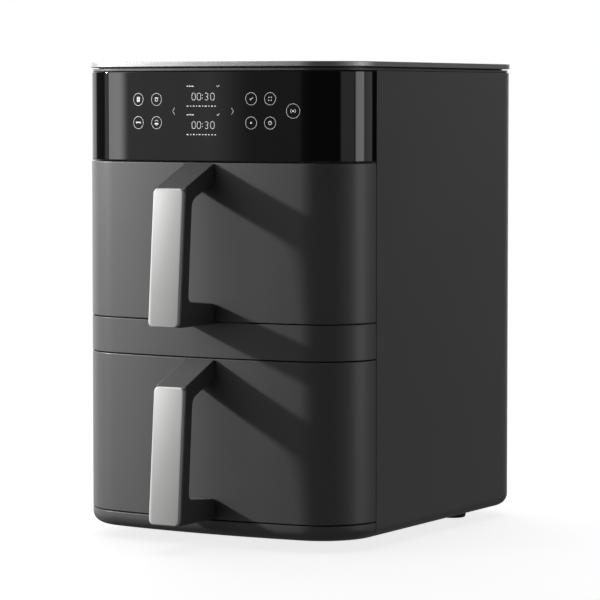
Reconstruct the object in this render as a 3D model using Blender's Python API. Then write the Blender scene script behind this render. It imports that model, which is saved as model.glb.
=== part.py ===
"""Vertical two-drawer air fryer, built as separate pieces around two sliding drawers and two fans.

Units are metres, +Z is up and the front faces -Y. The origin is at the bottom centre of the
bounding box, handles included. Depths written as Y(d) are measured back from the front's crest.
"""
import math

import bmesh
import bpy
from mathutils import Matrix, Vector

# Overall size
WIDTH = 0.280
BODY_DEPTH = 0.345
HEIGHT = 0.4165
HANDLE_OUT = 0.0596
REAR_OUT = 0.004
FRONT_Y = (HANDLE_OUT - BODY_DEPTH - REAR_OUT) / 2

# Plan outline
FRONT_BOW = 0.0054
FRONT_RADIUS = 0.053
BACK_RADIUS = 0.046
CORNER_X = WIDTH / 2 - FRONT_RADIUS
BOW_RADIUS = (CORNER_X ** 2 + FRONT_BOW ** 2) / (2 * FRONT_BOW)
SEAM_DEPTH = BOW_RADIUS - math.sqrt((BOW_RADIUS - FRONT_RADIUS) ** 2 - CORNER_X ** 2)
BOW_ANGLE = math.asin(CORNER_X / (BOW_RADIUS - FRONT_RADIUS))

# Heights of the horizontal seams
BODY_BOTTOM = 0.0098
BASE_TOP = 0.0239
LOWER_TOP = 0.1631
STRIP_TOP = 0.1944
UPPER_TOP = 0.3308
BODY_TOP = 0.4085
RIM_BOTTOM = 0.4121
ZONE_STEP = UPPER_TOP - LOWER_TOP
ZONES = (("upper", 0.0), ("lower", ZONE_STEP))

# Walls and gaps
GAP = 0.0003
SEAM = 0.0005
SKIN = 0.0025
GLASS_THICK = 0.0030
SHEET = 0.0010
FILLET = 0.0102
RIM_OUT = 0.0007
LEDGE_INSET = 0.0012
LEDGE_TOP = 0.4109
LID_INSET = 0.0063

# Drawer and cavity, upper zone; the lower zone is ZONE_STEP below
PAN_HALF = 0.1155
PAN_FRONT = 0.0310
SHIELD_FRONT = 0.0215
PAN_BACK = 0.2560
PAN_BOTTOM = 0.2030
PAN_TOP = 0.3180
PAN_LIP = 0.0040
PAN_WALL = 0.0012
PAN_CORNER = 0.025
LINER_HALF = 0.1262
LINER_FRONT = 0.0632
LINER_BACK = 0.2620
LINER_BOTTOM = 0.1970
LINER_TOP = 0.3285
FAN_HEIGHT = 0.2660
FRAME_FRONT = SEAM_DEPTH + SEAM
FRAME_HALF = 0.1215
FRAME_LOW = 0.2005
FRAME_HIGH = 0.3250
LEDGE_IN = 0.1174
LEDGE_DEPTHS = (0.0650, 0.2500)
LEDGE_THICK = 0.0012
LEDGE_SLACK = 0.0006
AIR_GAP_HALF = 0.080
AIR_GAP_RISE = 0.040
AIR_GAP_DEPTHS = (0.2500, 0.2700)
SHIELD_HALF = 0.1165
FRONT_LIP = -0.020
FRONT_SKIN = 0.0020

# Crisper plate and its bumpers
CRISPER_HALF = 0.1050
CRISPER_MARGIN = 0.0090
CRISPER_RISE = 0.0140
CRISPER_THICK = 0.0015
CRISPER_COLUMNS = 9
CRISPER_ROWS = 17
BUMPER_X = 0.085
BUMPER_INSET = 0.016
BUMPER_RADIUS = 0.0055

# Fans, guards, motors, switches and vents
AIR_HOLE_RADIUS = 0.054
GUARD_RADII = (0.0050, 0.0140, 0.0210, 0.0300, 0.0370, 0.0460, 0.0570)
GUARD_RIBS = 6
GUARD_STEPS = (0, 12, 28, 44)
GUARD_THICK = 0.0010
LEG_HOLE_RADIUS = 0.0045
LEG_HOLE_DEPTH = 0.284
FAN_CENTRE = 0.2700
FAN_BLADES = 8
FAN_HUB = 0.0095
FAN_TIP = 0.0330
BLADE_HALF = 0.0011
BLADE_DEPTHS = (0.2670, 0.2792)
SWITCH_OUT = 0.0083
SWITCH_DEPTHS = (0.0700, 0.0900)
SWITCH_HALF = 0.006
VENT_HALF = (0.060, 0.041)
VENT_OPENING = (0.0525, 0.033)
VENT_HOLE = (0.055, 0.036)
VENT_HOLE_DEPTHS = (0.330, 0.360)
SLOT_TALL = 0.0036
SLAT_TALL = 0.0046
SLOTS = 8

# Heating element and cord gland
ELEMENT_RADIUS = 0.0440
ELEMENT_LEG_X = 0.0080
ELEMENT_LEG_Z = math.sqrt(ELEMENT_RADIUS ** 2 - ELEMENT_LEG_X ** 2)
ELEMENT_DEPTH = 0.2735
ELEMENT_BEND = 0.2770
ELEMENT_END = 0.2950
ELEMENT_THICK = 0.0030
CORD_X = -0.085
CORD_Z = 0.045
CORD_HOLE = 0.0075

# Control panel and electronics
PANEL_SHELF = -0.045
WINDOW_HALF = 0.0185
WINDOW_HEIGHTS = (0.3490, 0.3995)
DISPLAY_HALF = 0.0175
DISPLAY_DEPTHS = (0.0040, 0.0122)
DISPLAY_TALL = 0.0220
DISPLAY_LOWS = (("upper_display", 0.3755), ("lower_display", 0.3515))
BOARD_HALF = 0.080
BOARD_DEPTHS = (0.0126, 0.0142)
BOARD_HEIGHTS = (0.3430, 0.4030)
SHELF_HALF = 0.137
SHELF_DEPTHS = (0.0650, 0.2960)
SHELF_HEIGHTS = (0.3320, 0.3332)
POST_PLACES = ((-0.085, 0.095), (0.045, 0.095), (-0.085, 0.205), (0.045, 0.205))
POST_HALF = 0.004
POST_TOP = 0.3440
POWER_X = (-0.092, 0.052)
POWER_DEPTHS = (0.088, 0.212)
POWER_TOP = 0.3459
POWER_BLOCKS = (("transformer", (-0.075, -0.035), (0.105, 0.140), 0.030),
                ("relay", (-0.015, 0.005), (0.110, 0.128), 0.018),
                ("heat_sink", (0.010, 0.040), (0.150, 0.190), 0.026))

# Handle, measured out from the drawer face and down from the drawer's top edge
HANDLE_HALF = 0.0150
HANDLE_DEPTHS = {"top": 0.0006, "front_top": 0.0208, "under": 0.0172, "inner_top": 0.0315,
                 "inner_low": 0.1167, "low_top": 0.1207, "bottom": 0.1382}
INNER_OUT_TOP = 0.0358
INNER_OUT_LOW = 0.0422
PLATE_THICK = 0.0030
PLATE_OUT_TOP = 0.0503
PLATE_BOTTOM = 0.1379
PLATE_GAP = 0.0006
PLATE_ROUND = 0.0012
SCREW_DEPTHS = (("top", 0.0110), ("bottom", 0.1295))
SCREW_HOLE = 0.0025
SCREW_BORE = 0.0021
SCREW_RADIUS = 0.0017
SCREW_HEAD = 0.0040
SCREW_END = -0.0140
BORE_END = -0.0160
BORE_LONG = 0.030

FOOT_RADIUS = 0.012
FOOT_EDGE = (0.0015, 0.0020)
FOOT_PLACES = {"front_left_foot": (-0.070, 0.090), "front_right_foot": (0.070, 0.090),
               "rear_left_foot": (-0.099, 0.280), "rear_right_foot": (0.099, 0.280)}

COLOURS = {
    "body_plastic": ((0.075, 0.075, 0.078), 0.55, 0.0),
    "inner_plastic": ((0.030, 0.030, 0.032), 0.6, 0.0),
    "handle_plastic": ((0.020, 0.020, 0.021), 0.45, 0.0),
    "panel_glass": ((0.004, 0.004, 0.005), 0.06, 0.0),
    "trim_metal": ((0.62, 0.61, 0.60), 0.32, 1.0),
    "handle_cover": ((0.46, 0.45, 0.44), 0.38, 0.6),
    "sheet_steel": ((0.52, 0.52, 0.52), 0.35, 1.0),
    "pan_coating": ((0.035, 0.035, 0.036), 0.42, 0.2),
    "heater_steel": ((0.28, 0.27, 0.26), 0.4, 1.0),
    "motor_steel": ((0.45, 0.45, 0.44), 0.4, 1.0),
    "circuit_board": ((0.02, 0.16, 0.07), 0.5, 0.0),
    "display_module": ((0.02, 0.02, 0.02), 0.3, 0.0),
    "switch_plastic": ((0.03, 0.03, 0.03), 0.5, 0.0),
    "screw_steel": ((0.5, 0.5, 0.5), 0.3, 1.0),
    "rubber": ((0.02, 0.02, 0.02), 0.85, 0.0),
    "silicone": ((0.05, 0.05, 0.05), 0.8, 0.0),
}


def Y(depth):
    """Depth behind the front's crest as a world Y."""
    return FRONT_Y + depth


def depths_to_y(depths):
    return Y(depths[0]), Y(depths[1])


def clear_scene():
    for thing in list(bpy.data.objects):
        bpy.data.objects.remove(thing, do_unlink=True)


def material(slot):
    made = bpy.data.materials.get(slot)
    if made:
        return made
    colour, roughness, metallic = COLOURS[slot]
    made = bpy.data.materials.new(slot)
    made.use_nodes = True
    shader = made.node_tree.nodes["Principled BSDF"]
    shader.inputs["Base Color"].default_value = (*colour, 1.0)
    shader.inputs["Roughness"].default_value = roughness
    shader.inputs["Metallic"].default_value = metallic
    return made


def finish(name, mesh_data, slot, origin=(0, 0, 0), parent=None, smooth=True):
    """Turn a bmesh in world metres into a named object whose origin is at origin."""
    bmesh.ops.remove_doubles(mesh_data, verts=mesh_data.verts, dist=1e-7)
    bmesh.ops.recalc_face_normals(mesh_data, faces=mesh_data.faces)
    bmesh.ops.translate(mesh_data, verts=mesh_data.verts, vec=-Vector(origin))
    mesh = bpy.data.meshes.new(name)
    mesh_data.to_mesh(mesh)
    mesh_data.free()
    if smooth:
        mesh.shade_smooth()
        mesh.set_sharp_from_angle(angle=math.radians(35))
    made = bpy.data.objects.new(name, mesh)
    bpy.context.scene.collection.objects.link(made)
    made.location = origin
    if slot:
        mesh.materials.append(material(slot))
    if parent:
        made.parent = parent
        made.matrix_parent_inverse = Matrix.Translation(-parent.location)
    return made


def cut(target, cutter, operation="DIFFERENCE"):
    """Combine target with a hidden cutter by an exact Boolean."""
    cutter.hide_render = True
    cutter.display_type = "WIRE"
    step = target.modifiers.new(cutter.name, "BOOLEAN")
    step.operation = operation
    step.solver = "EXACT"
    step.object = cutter


# Shape builders ---------------------------------------------------------------------------

def arc(centre_x, centre_y, radius, start, end, steps):
    """Points along an arc, angles in radians from +X."""
    points = []
    for i in range(steps + 1):
        angle = start + (end - start) * i / steps
        points.append((centre_x + radius * math.cos(angle), centre_y + radius * math.sin(angle)))
    return points


def front_path(offset):
    """The front outline from the left seam to the right seam, moved outwards by offset."""
    down = -math.pi / 2
    slack = SEAM / FRONT_RADIUS
    radius = FRONT_RADIUS + offset
    left = arc(-CORNER_X, Y(SEAM_DEPTH), radius, -math.pi + slack, down - BOW_ANGLE, 7)
    bow = arc(0, Y(BOW_RADIUS), BOW_RADIUS + offset, down - BOW_ANGLE, down + BOW_ANGLE, 8)
    right = arc(CORNER_X, Y(SEAM_DEPTH), radius, down + BOW_ANGLE, -slack, 7)
    return left + bow[1:-1] + right


def rear_path(offset):
    """The side and back outline from the right seam round to the left seam."""
    half = WIDTH / 2 + offset
    centre_x = WIDTH / 2 - BACK_RADIUS
    centre_y = Y(BODY_DEPTH - BACK_RADIUS)
    radius = BACK_RADIUS + offset
    right = arc(centre_x, centre_y, radius, 0, math.pi / 2, 7)
    left = arc(-centre_x, centre_y, radius, math.pi / 2, math.pi, 7)
    start_y = Y(SEAM_DEPTH + GAP)
    return [(half, start_y)] + right + left + [(-half, start_y)]


def whole_path(offset):
    """The full outline as a closed loop."""
    return front_path(offset) + rear_path(offset)[1:-1]


def sweep(name, path, profile, slot, closed=False, parent=None):
    """Sweep a closed (offset, z) profile along a plan path."""
    mesh_data = bmesh.new()
    rings = []
    for offset, z in profile:
        rings.append([mesh_data.verts.new((x, y, z)) for x, y in path(offset)])
    count = len(rings[0])
    spans = count if closed else count - 1
    for k in range(len(rings)):
        near = rings[k]
        far = rings[(k + 1) % len(rings)]
        for i in range(spans):
            j = (i + 1) % count
            mesh_data.faces.new((near[i], near[j], far[j], far[i]))
    if not closed:
        mesh_data.faces.new([ring[0] for ring in rings])
        mesh_data.faces.new([ring[-1] for ring in rings])
    return finish(name, mesh_data, slot, parent=parent)


def loft(name, loops, slot, parent=None, origin=(0, 0, 0), smooth=True):
    """Join closed loops of equal length in order and cap the first and the last."""
    mesh_data = bmesh.new()
    rings = [[mesh_data.verts.new(point) for point in loop] for loop in loops]
    for near, far in zip(rings, rings[1:]):
        for i in range(len(near)):
            j = (i + 1) % len(near)
            mesh_data.faces.new((near[i], near[j], far[j], far[i]))
    mesh_data.faces.new(rings[0])
    mesh_data.faces.new(rings[-1])
    return finish(name, mesh_data, slot, origin, parent, smooth)


def at_height(points, z):
    return [(x, y, z) for x, y in points]


def box(name, x_span, y_span, z_span, slot):
    corners = [(x_span[0], y_span[0]), (x_span[1], y_span[0]),
               (x_span[1], y_span[1]), (x_span[0], y_span[1])]
    loops = [at_height(corners, z_span[0]), at_height(corners, z_span[1])]
    return loft(name, loops, slot, smooth=False)


def turned(name, profile, centre, slot, axis="Y", steps=24, ring=False, parent=None):
    """Turn an (radius, distance) profile about an axis through centre; ring closes the profile."""
    mesh_data = bmesh.new()
    rows = []
    for radius, distance in profile:
        row = []
        for i in range(steps if radius > 0 else 1):
            angle = 2 * math.pi * i / steps
            across = radius * math.cos(angle)
            up = radius * math.sin(angle)
            point = (across, distance, up) if axis == "Y" else (across, up, distance)
            row.append(mesh_data.verts.new(Vector(centre) + Vector(point)))
        rows.append(row)
    pairs = list(zip(rows, rows[1:]))
    if ring:
        pairs.append((rows[-1], rows[0]))
    for near, far in pairs:
        if len(near) == len(far) == 1:
            continue
        for i in range(steps):
            j = (i + 1) % steps
            corners = [near[i % len(near)], near[j % len(near)], far[j % len(far)], far[i % len(far)]]
            mesh_data.faces.new(list(dict.fromkeys(corners)))
    return finish(name, mesh_data, slot, centre, parent)


def cell_plate(name, columns, rows, open_cell, place, depth, slot, wrap=False, parent=None):
    """A plate of grid cells with the open ones left out, thickened by the vector depth.

    place(u, v) gives the world point of a grid corner. wrap joins the last column to the first.
    """
    mesh_data = bmesh.new()
    across = len(columns)
    grid = [[mesh_data.verts.new(place(u, v)) for v in rows] for u in columns]
    spans = across if wrap else across - 1
    faces = []
    for i in range(spans):
        j = (i + 1) % across
        for k in range(len(rows) - 1):
            if not open_cell(i, k):
                corners = (grid[i][k], grid[j][k], grid[j][k + 1], grid[i][k + 1])
                faces.append(mesh_data.faces.new(corners))
    loose = [vert for vert in mesh_data.verts if not vert.link_faces]
    bmesh.ops.delete(mesh_data, geom=loose, context="VERTS")
    grown = bmesh.ops.extrude_face_region(mesh_data, geom=faces, use_keep_orig=True)
    moved = [item for item in grown["geom"] if isinstance(item, bmesh.types.BMVert)]
    bmesh.ops.translate(mesh_data, verts=moved, vec=Vector(depth))
    return finish(name, mesh_data, slot, parent=parent, smooth=False)


def rounded_outline(corners, radii, steps=4):
    """A polygon whose corners are replaced by arcs of the given radii."""
    points = []
    count = len(corners)
    for i in range(count):
        here = Vector(corners[i])
        back = (Vector(corners[i - 1]) - here).normalized()
        ahead = (Vector(corners[(i + 1) % count]) - here).normalized()
        radius = radii[i]
        if radius == 0:
            points.append(tuple(here))
            continue
        half = back.angle(ahead) / 2
        reach = radius / math.tan(half)
        centre = here + (back + ahead).normalized() * (radius / math.sin(half))
        start = here + back * reach - centre
        turn = start.angle_signed(here + ahead * reach - centre)
        for k in range(steps + 1):
            spoke = start.copy()
            spoke.rotate(Matrix.Rotation(-turn * k / steps, 2))
            points.append(tuple(centre + spoke))
    return points


def side_extrusion(name, outline, half_width, slot, parent=None):
    """Extrude a (y, z) outline along X, centred on X = 0."""
    loops = [[(side * half_width, y, z) for y, z in outline] for side in (-1, 1)]
    return loft(name, loops, slot, parent)


def pan_outline(inset, z):
    """The pan's plan outline at height z, moved inwards by inset."""
    half = PAN_HALF - inset
    corners = [(-half, Y(PAN_FRONT + inset)), (half, Y(PAN_FRONT + inset)),
               (half, Y(PAN_BACK - inset)), (-half, Y(PAN_BACK - inset))]
    return at_height(rounded_outline(corners, [PAN_CORNER - inset] * 4), z)


# Housing ----------------------------------------------------------------------------------

def fillet_profile(top):
    """A wall whose foot curves inwards to the underside: outer line down, inner line back up."""
    steps = 4
    outer = []
    inner = []
    for i in range(steps + 1):
        angle = math.pi / 2 * i / steps
        outer.append((-FILLET * (1 - math.cos(angle)), BODY_BOTTOM + FILLET * (1 - math.sin(angle))))
        reach = FILLET - SKIN
        inner.append((-FILLET + reach * math.cos(angle), BODY_BOTTOM + FILLET - reach * math.sin(angle)))
    return [(0, top)] + outer + list(reversed(inner)) + [(-SKIN, top)]


def build_shell():
    shell = sweep("outer_shell", rear_path, fillet_profile(BODY_TOP), "body_plastic")
    for zone, drop in ZONES:
        middle = FAN_HEIGHT - drop
        hole = box(zone + "_vent_cutter", (-VENT_HOLE[0], VENT_HOLE[0]), depths_to_y(VENT_HOLE_DEPTHS),
                   (middle - VENT_HOLE[1], middle + VENT_HOLE[1]), None)
        cut(shell, hole)
    cord_hole = turned("cord_cutter", [(0, 0), (CORD_HOLE, 0), (CORD_HOLE, 0.030), (0, 0.030)],
                       (CORD_X, Y(VENT_HOLE_DEPTHS[0]), CORD_Z), None, steps=20)
    cut(shell, cord_hole)


def build_base():
    profile = fillet_profile(BASE_TOP - SEAM)
    sweep("base_front_band", front_path, profile, "body_plastic")
    inset = -FILLET - GAP
    wall_out = -0.0130
    wall_in = -0.0150
    plate_top = 0.0118
    wall_top = 0.0220
    floor_top = 0.0122
    steps = [(inset, BODY_BOTTOM), (inset, plate_top), (wall_out, plate_top), (wall_out, wall_top),
             (wall_in, wall_top), (wall_in, floor_top)]
    loft("base_pan", [at_height(whole_path(o), z) for o, z in steps], "inner_plastic")
    for name, (x, depth) in FOOT_PLACES.items():
        top = BODY_BOTTOM - GAP
        edge_in, edge_up = FOOT_EDGE
        profile = [(0, 0), (FOOT_RADIUS - edge_in, 0), (FOOT_RADIUS, edge_up), (FOOT_RADIUS, top), (0, top)]
        turned(name, profile, (x, Y(depth), 0), "rubber", axis="Z", steps=20)


def build_top():
    """A hollow lid whose ledge closes the body, with the metal rim standing over a narrow groove."""
    low = BODY_TOP + GAP
    lid_top = HEIGHT - 0.0006
    steps = [(-LID_INSET, lid_top), (-LID_INSET, LEDGE_TOP), (-LEDGE_INSET, LEDGE_TOP), (-LEDGE_INSET, low),
             (-LID_INSET - SKIN, low), (-LID_INSET - SKIN, lid_top - SKIN)]
    loft("top_cover", [at_height(whole_path(o), z) for o, z in steps], "body_plastic")
    inner = -LID_INSET + GAP
    rim = [(RIM_OUT, RIM_BOTTOM), (RIM_OUT, HEIGHT), (inner, HEIGHT), (inner, RIM_BOTTOM)]
    sweep("top_trim_ring", whole_path, rim, "trim_metal", closed=True)


def build_control_panel():
    """The glass, the carrier behind it, the displays, and the boards with their shelf."""
    low = UPPER_TOP + SEAM
    glass = [(0, low), (0, BODY_TOP), (-GLASS_THICK, BODY_TOP), (-GLASS_THICK, low)]
    sweep("control_glass", front_path, glass, "panel_glass")
    face = -GLASS_THICK - GAP
    back = face - SKIN
    carrier_top = BODY_TOP - SKIN
    shelf_top = low + FRONT_SKIN
    carrier = [(face, low), (face, carrier_top), (back, carrier_top), (back, shelf_top),
               (PANEL_SHELF, shelf_top), (PANEL_SHELF, low)]
    panel = sweep("panel_carrier", front_path, carrier, "inner_plastic")
    window = box("display_window_cutter", (-WINDOW_HALF, WINDOW_HALF), (Y(-0.010), Y(0.0120)),
                 WINDOW_HEIGHTS, None)
    cut(panel, window)
    for name, low_z in DISPLAY_LOWS:
        box(name, (-DISPLAY_HALF, DISPLAY_HALF), depths_to_y(DISPLAY_DEPTHS), (low_z, low_z + DISPLAY_TALL),
            "display_module")
    box("control_board", (-BOARD_HALF, BOARD_HALF), depths_to_y(BOARD_DEPTHS), BOARD_HEIGHTS, "circuit_board")
    shelf_plate = box("electronics_shelf", (-SHELF_HALF, SHELF_HALF), depths_to_y(SHELF_DEPTHS),
                      SHELF_HEIGHTS, "sheet_steel")
    middle = sum(SHELF_HEIGHTS) / 2
    for number, (x, depth) in enumerate(POST_PLACES):
        post = box("post_%d_cutter" % number, (x - POST_HALF, x + POST_HALF),
                   (Y(depth - POST_HALF), Y(depth + POST_HALF)), (middle, POST_TOP), None)
        cut(shelf_plate, post, "UNION")
    power_low = POST_TOP + GAP
    board = box("power_board", POWER_X, depths_to_y(POWER_DEPTHS), (power_low, POWER_TOP), "circuit_board")
    middle = (power_low + POWER_TOP) / 2
    for label, x_span, depths, height in POWER_BLOCKS:
        block = box(label + "_cutter", x_span, depths_to_y(depths), (middle, POWER_TOP + height), None)
        cut(board, block, "UNION")


def build_front_structure():
    low = LOWER_TOP + SEAM
    high = STRIP_TOP - SEAM
    middle = (low + high) / 2
    strip = [(0, low), (0, high), (-SKIN, high), (-SKIN, middle + 0.001), (-0.045, middle + 0.001),
             (-0.045, middle - 0.001), (-SKIN, middle - 0.001), (-SKIN, low)]
    sweep("middle_strip", front_path, strip, "body_plastic")
    half = WIDTH / 2 - SKIN - GAP
    columns = [-half, -FRAME_HALF, FRAME_HALF, half]
    rows = [BASE_TOP, FRAME_LOW - ZONE_STEP, FRAME_HIGH - ZONE_STEP, FRAME_LOW, FRAME_HIGH, BODY_TOP - 0.0010]
    cell_plate("front_frame", columns, rows, lambda i, k: i == 1 and k in (1, 3),
               lambda u, v: (u, Y(FRAME_FRONT), v), (0, 0.0020, 0), "sheet_steel")


def box_ring(half, low, high, inset, depth):
    """A rectangle standing across the body at a depth, moved inwards by inset."""
    wide = half - inset
    return [(-wide, Y(depth), low + inset), (wide, Y(depth), low + inset),
            (wide, Y(depth), high - inset), (-wide, Y(depth), high - inset)]


def build_liner(zone, drop):
    """An open box with a round air hole in its back and a ledge along each side for the pan's lip."""
    low = LINER_BOTTOM - drop
    high = LINER_TOP - drop
    steps = ((0, LINER_BACK), (0, LINER_FRONT), (SHEET, LINER_FRONT), (SHEET, LINER_BACK - SHEET))
    loops = [box_ring(LINER_HALF, low, high, inset, depth) for inset, depth in steps]
    liner = loft(zone + "_cavity_liner", loops, "sheet_steel", smooth=False)
    reach = 0.010
    outline = [(0, -reach), (AIR_HOLE_RADIUS, -reach), (AIR_HOLE_RADIUS, reach), (0, reach)]
    hole = turned(zone + "_air_cutter", outline, (0, Y(LINER_BACK), FAN_HEIGHT - drop), None, steps=32)
    cut(liner, hole)
    ledge_top = PAN_TOP - PAN_LIP / 2 - LEDGE_SLACK - drop
    for side, label in ((-1, "left"), (1, "right")):
        x_span = sorted((side * LEDGE_IN, side * (LINER_HALF - SHEET / 2)))
        ledge = box("%s_%s_ledge_cutter" % (zone, label), x_span, depths_to_y(LEDGE_DEPTHS),
                    (ledge_top - LEDGE_THICK, ledge_top), None)
        cut(liner, ledge, "UNION")


def build_heater(zone, drop):
    """The fan guard, the dish behind it with the heating element, and the motor."""
    axis_z = FAN_HEIGHT - drop
    pitch = 360 / GUARD_RIBS
    turns = [math.radians(rib * pitch + shift) for rib in range(GUARD_RIBS) for shift in GUARD_STEPS]
    steps = len(GUARD_STEPS)
    cell_plate(zone + "_fan_guard", turns, GUARD_RADII, lambda i, k: k in (1, 3) and i % steps != 0,
               lambda u, v: (v * math.cos(u), Y(LINER_BACK + GAP), axis_z + v * math.sin(u)),
               (0, GUARD_THICK, 0), "sheet_steel", wrap=True)
    housing = [(0.0600, 0.2638), (0.0600, 0.2890), (0.0050, 0.2890), (0.0050, 0.2878), (0.0588, 0.2878),
               (0.0588, 0.2650), (0.0520, 0.2650), (0.0520, 0.2638)]
    dish = turned(zone + "_heater_housing", [(r, Y(d)) for r, d in housing], (0, 0, axis_z), "sheet_steel",
                  steps=32, ring=True)
    heating_element(zone + "_heating_element", axis_z)
    for side in (-1, 1):
        leg_hole = turned("%s_leg_cutter_%d" % (zone, side),
                          [(0, 0), (LEG_HOLE_RADIUS, 0), (LEG_HOLE_RADIUS, 0.01), (0, 0.01)],
                          (side * ELEMENT_LEG_X, Y(LEG_HOLE_DEPTH), axis_z + ELEMENT_LEG_Z), None, steps=12)
        cut(dish, leg_hole)
    motor = [(0.0036, 0.2893), (0.0100, 0.2893), (0.0100, 0.2930), (0.0240, 0.2930), (0.0240, 0.3230),
             (0.0080, 0.3230), (0.0080, 0.3260), (0, 0.3260), (0, 0.3210), (0.0036, 0.3210)]
    turned(zone + "_fan_motor", [(r, Y(d)) for r, d in motor], (0, 0, axis_z), "motor_steel", ring=True)


def build_switch_and_vent(zone, drop):
    axis_z = FAN_HEIGHT - drop
    box(zone + "_interlock_switch", (LINER_HALF + GAP, LINER_HALF + SWITCH_OUT), depths_to_y(SWITCH_DEPTHS),
        (axis_z - SWITCH_HALF, axis_z + SWITCH_HALF), "switch_plastic")
    half, tall = VENT_HALF
    open_half, open_tall = VENT_OPENING
    columns = [-half, -open_half, open_half, half]
    rows = [axis_z - tall, axis_z - open_tall]
    for _ in range(SLOTS - 1):
        rows += [rows[-1] + SLOT_TALL, rows[-1] + SLOT_TALL + SLAT_TALL]
    rows += [rows[-1] + SLOT_TALL, axis_z + tall]
    cell_plate(zone + "_rear_vent", columns, rows, lambda i, k: i == 1 and k % 2 == 1,
               lambda u, v: (u, Y(BODY_DEPTH + GAP), v), (0, REAR_OUT - GAP, 0), "inner_plastic")


def heating_element(name, axis_z):
    """A tube bent into an almost closed ring, with two legs running back."""
    gap_angle = math.asin(ELEMENT_LEG_X / ELEMENT_RADIUS)
    start = math.pi / 2 + gap_angle
    sweep_angle = 2 * math.pi - 2 * gap_angle
    leg_z = axis_z + ELEMENT_LEG_Z
    points = [(-ELEMENT_LEG_X, Y(ELEMENT_END), leg_z), (-ELEMENT_LEG_X, Y(ELEMENT_BEND), leg_z)]
    steps = 22
    for i in range(steps + 1):
        angle = start + sweep_angle * i / steps
        across = ELEMENT_RADIUS * math.cos(angle)
        points.append((across, Y(ELEMENT_DEPTH), axis_z + ELEMENT_RADIUS * math.sin(angle)))
    points.append((ELEMENT_LEG_X, Y(ELEMENT_BEND), leg_z))
    points.append((ELEMENT_LEG_X, Y(ELEMENT_END), leg_z))
    curve = bpy.data.curves.new(name, "CURVE")
    curve.dimensions = "3D"
    curve.bevel_depth = ELEMENT_THICK
    curve.bevel_resolution = 2
    curve.use_fill_caps = True
    spline = curve.splines.new("POLY")
    spline.points.add(len(points) - 1)
    for spot, point in zip(spline.points, points):
        spot.co = (*point, 1.0)
    made = bpy.data.objects.new(name, curve)
    curve.materials.append(material("heater_steel"))
    bpy.context.scene.collection.objects.link(made)


def build_cord_gland():
    profile = [(0.0036, 0.3380), (0.0070, 0.3380), (0.0070, BODY_DEPTH + GAP), (0.0100, BODY_DEPTH + GAP),
               (0.0100, 0.3485), (0.0036, 0.3485)]
    turned("cord_gland", [(r, Y(d)) for r, d in profile], (CORD_X, 0, CORD_Z), "rubber", steps=20, ring=True)


# Moving pieces ----------------------------------------------------------------------------

def empty(name, place):
    made = bpy.data.objects.new(name, None)
    made.location = place
    bpy.context.scene.collection.objects.link(made)
    return made


def build_fan(zone, drop):
    """A radial fan with its shaft, turning about Y."""
    centre = (0, Y(FAN_CENTRE), FAN_HEIGHT - drop)
    pivot = empty(zone + "_fan_axis", centre)
    outline = []
    for blade in range(FAN_BLADES):
        angle = 2 * math.pi * blade / FAN_BLADES
        along = Vector((math.cos(angle), math.sin(angle)))
        across = Vector((-along.y, along.x))
        for reach, side in ((FAN_HUB, -1), (FAN_TIP, -1), (FAN_TIP, 1), (FAN_HUB, 1)):
            outline.append(along * reach + across * BLADE_HALF * side)
    loops = [[(centre[0] + p.x, Y(depth), centre[2] + p.y) for p in outline] for depth in BLADE_DEPTHS]
    fan = loft(zone + "_fan", loops, "sheet_steel", pivot, centre, smooth=False)
    disc = [(0, 0.2788), (0.0350, 0.2788), (0.0350, 0.2798), (0.0075, 0.2798), (0.0075, 0.2850),
            (0.0030, 0.2850), (0.0030, 0.3200), (0, 0.3200)]
    back = turned(zone + "_disc_cutter", [(r, Y(d)) for r, d in disc], (0, 0, centre[2]), None, steps=24)
    cut(fan, back, "UNION")


def drawer_front(zone, drop, slide):
    """The outer front with its folded edges, and the heat shield box fixed behind it."""
    low = STRIP_TOP + SEAM - drop
    if zone == "lower":
        low = BASE_TOP + SEAM
    high = UPPER_TOP - SEAM - drop
    inner_low = low + FRONT_SKIN
    inner_high = high - FRONT_SKIN
    profile = [(0, low), (0, high), (FRONT_LIP, high), (FRONT_LIP, inner_high), (-SKIN, inner_high),
               (-SKIN, inner_low), (FRONT_LIP, inner_low), (FRONT_LIP, low)]
    front = sweep(zone + "_drawer_front", front_path, profile, "body_plastic", parent=slide)
    for label, depth in SCREW_DEPTHS:
        outline = [(0, 0), (SCREW_HOLE, 0), (SCREW_HOLE, 0.02), (0, 0.02)]
        hole = turned("%s_%s_screw_cutter" % (zone, label), outline,
                      (0, Y(-0.010), UPPER_TOP - drop - depth), None, steps=12)
        cut(front, hole)
    box_low = inner_low + GAP
    box_high = inner_high - GAP
    shield_back = PAN_FRONT - PAN_LIP - GAP
    steps = ((0, shield_back), (0, SHIELD_FRONT), (SHEET, SHIELD_FRONT), (SHEET, shield_back - SHEET))
    loops = [box_ring(SHIELD_HALF, box_low, box_high, inset, depth) for inset, depth in steps]
    loft(zone + "_heat_shield", loops, "sheet_steel", slide, smooth=False)


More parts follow.
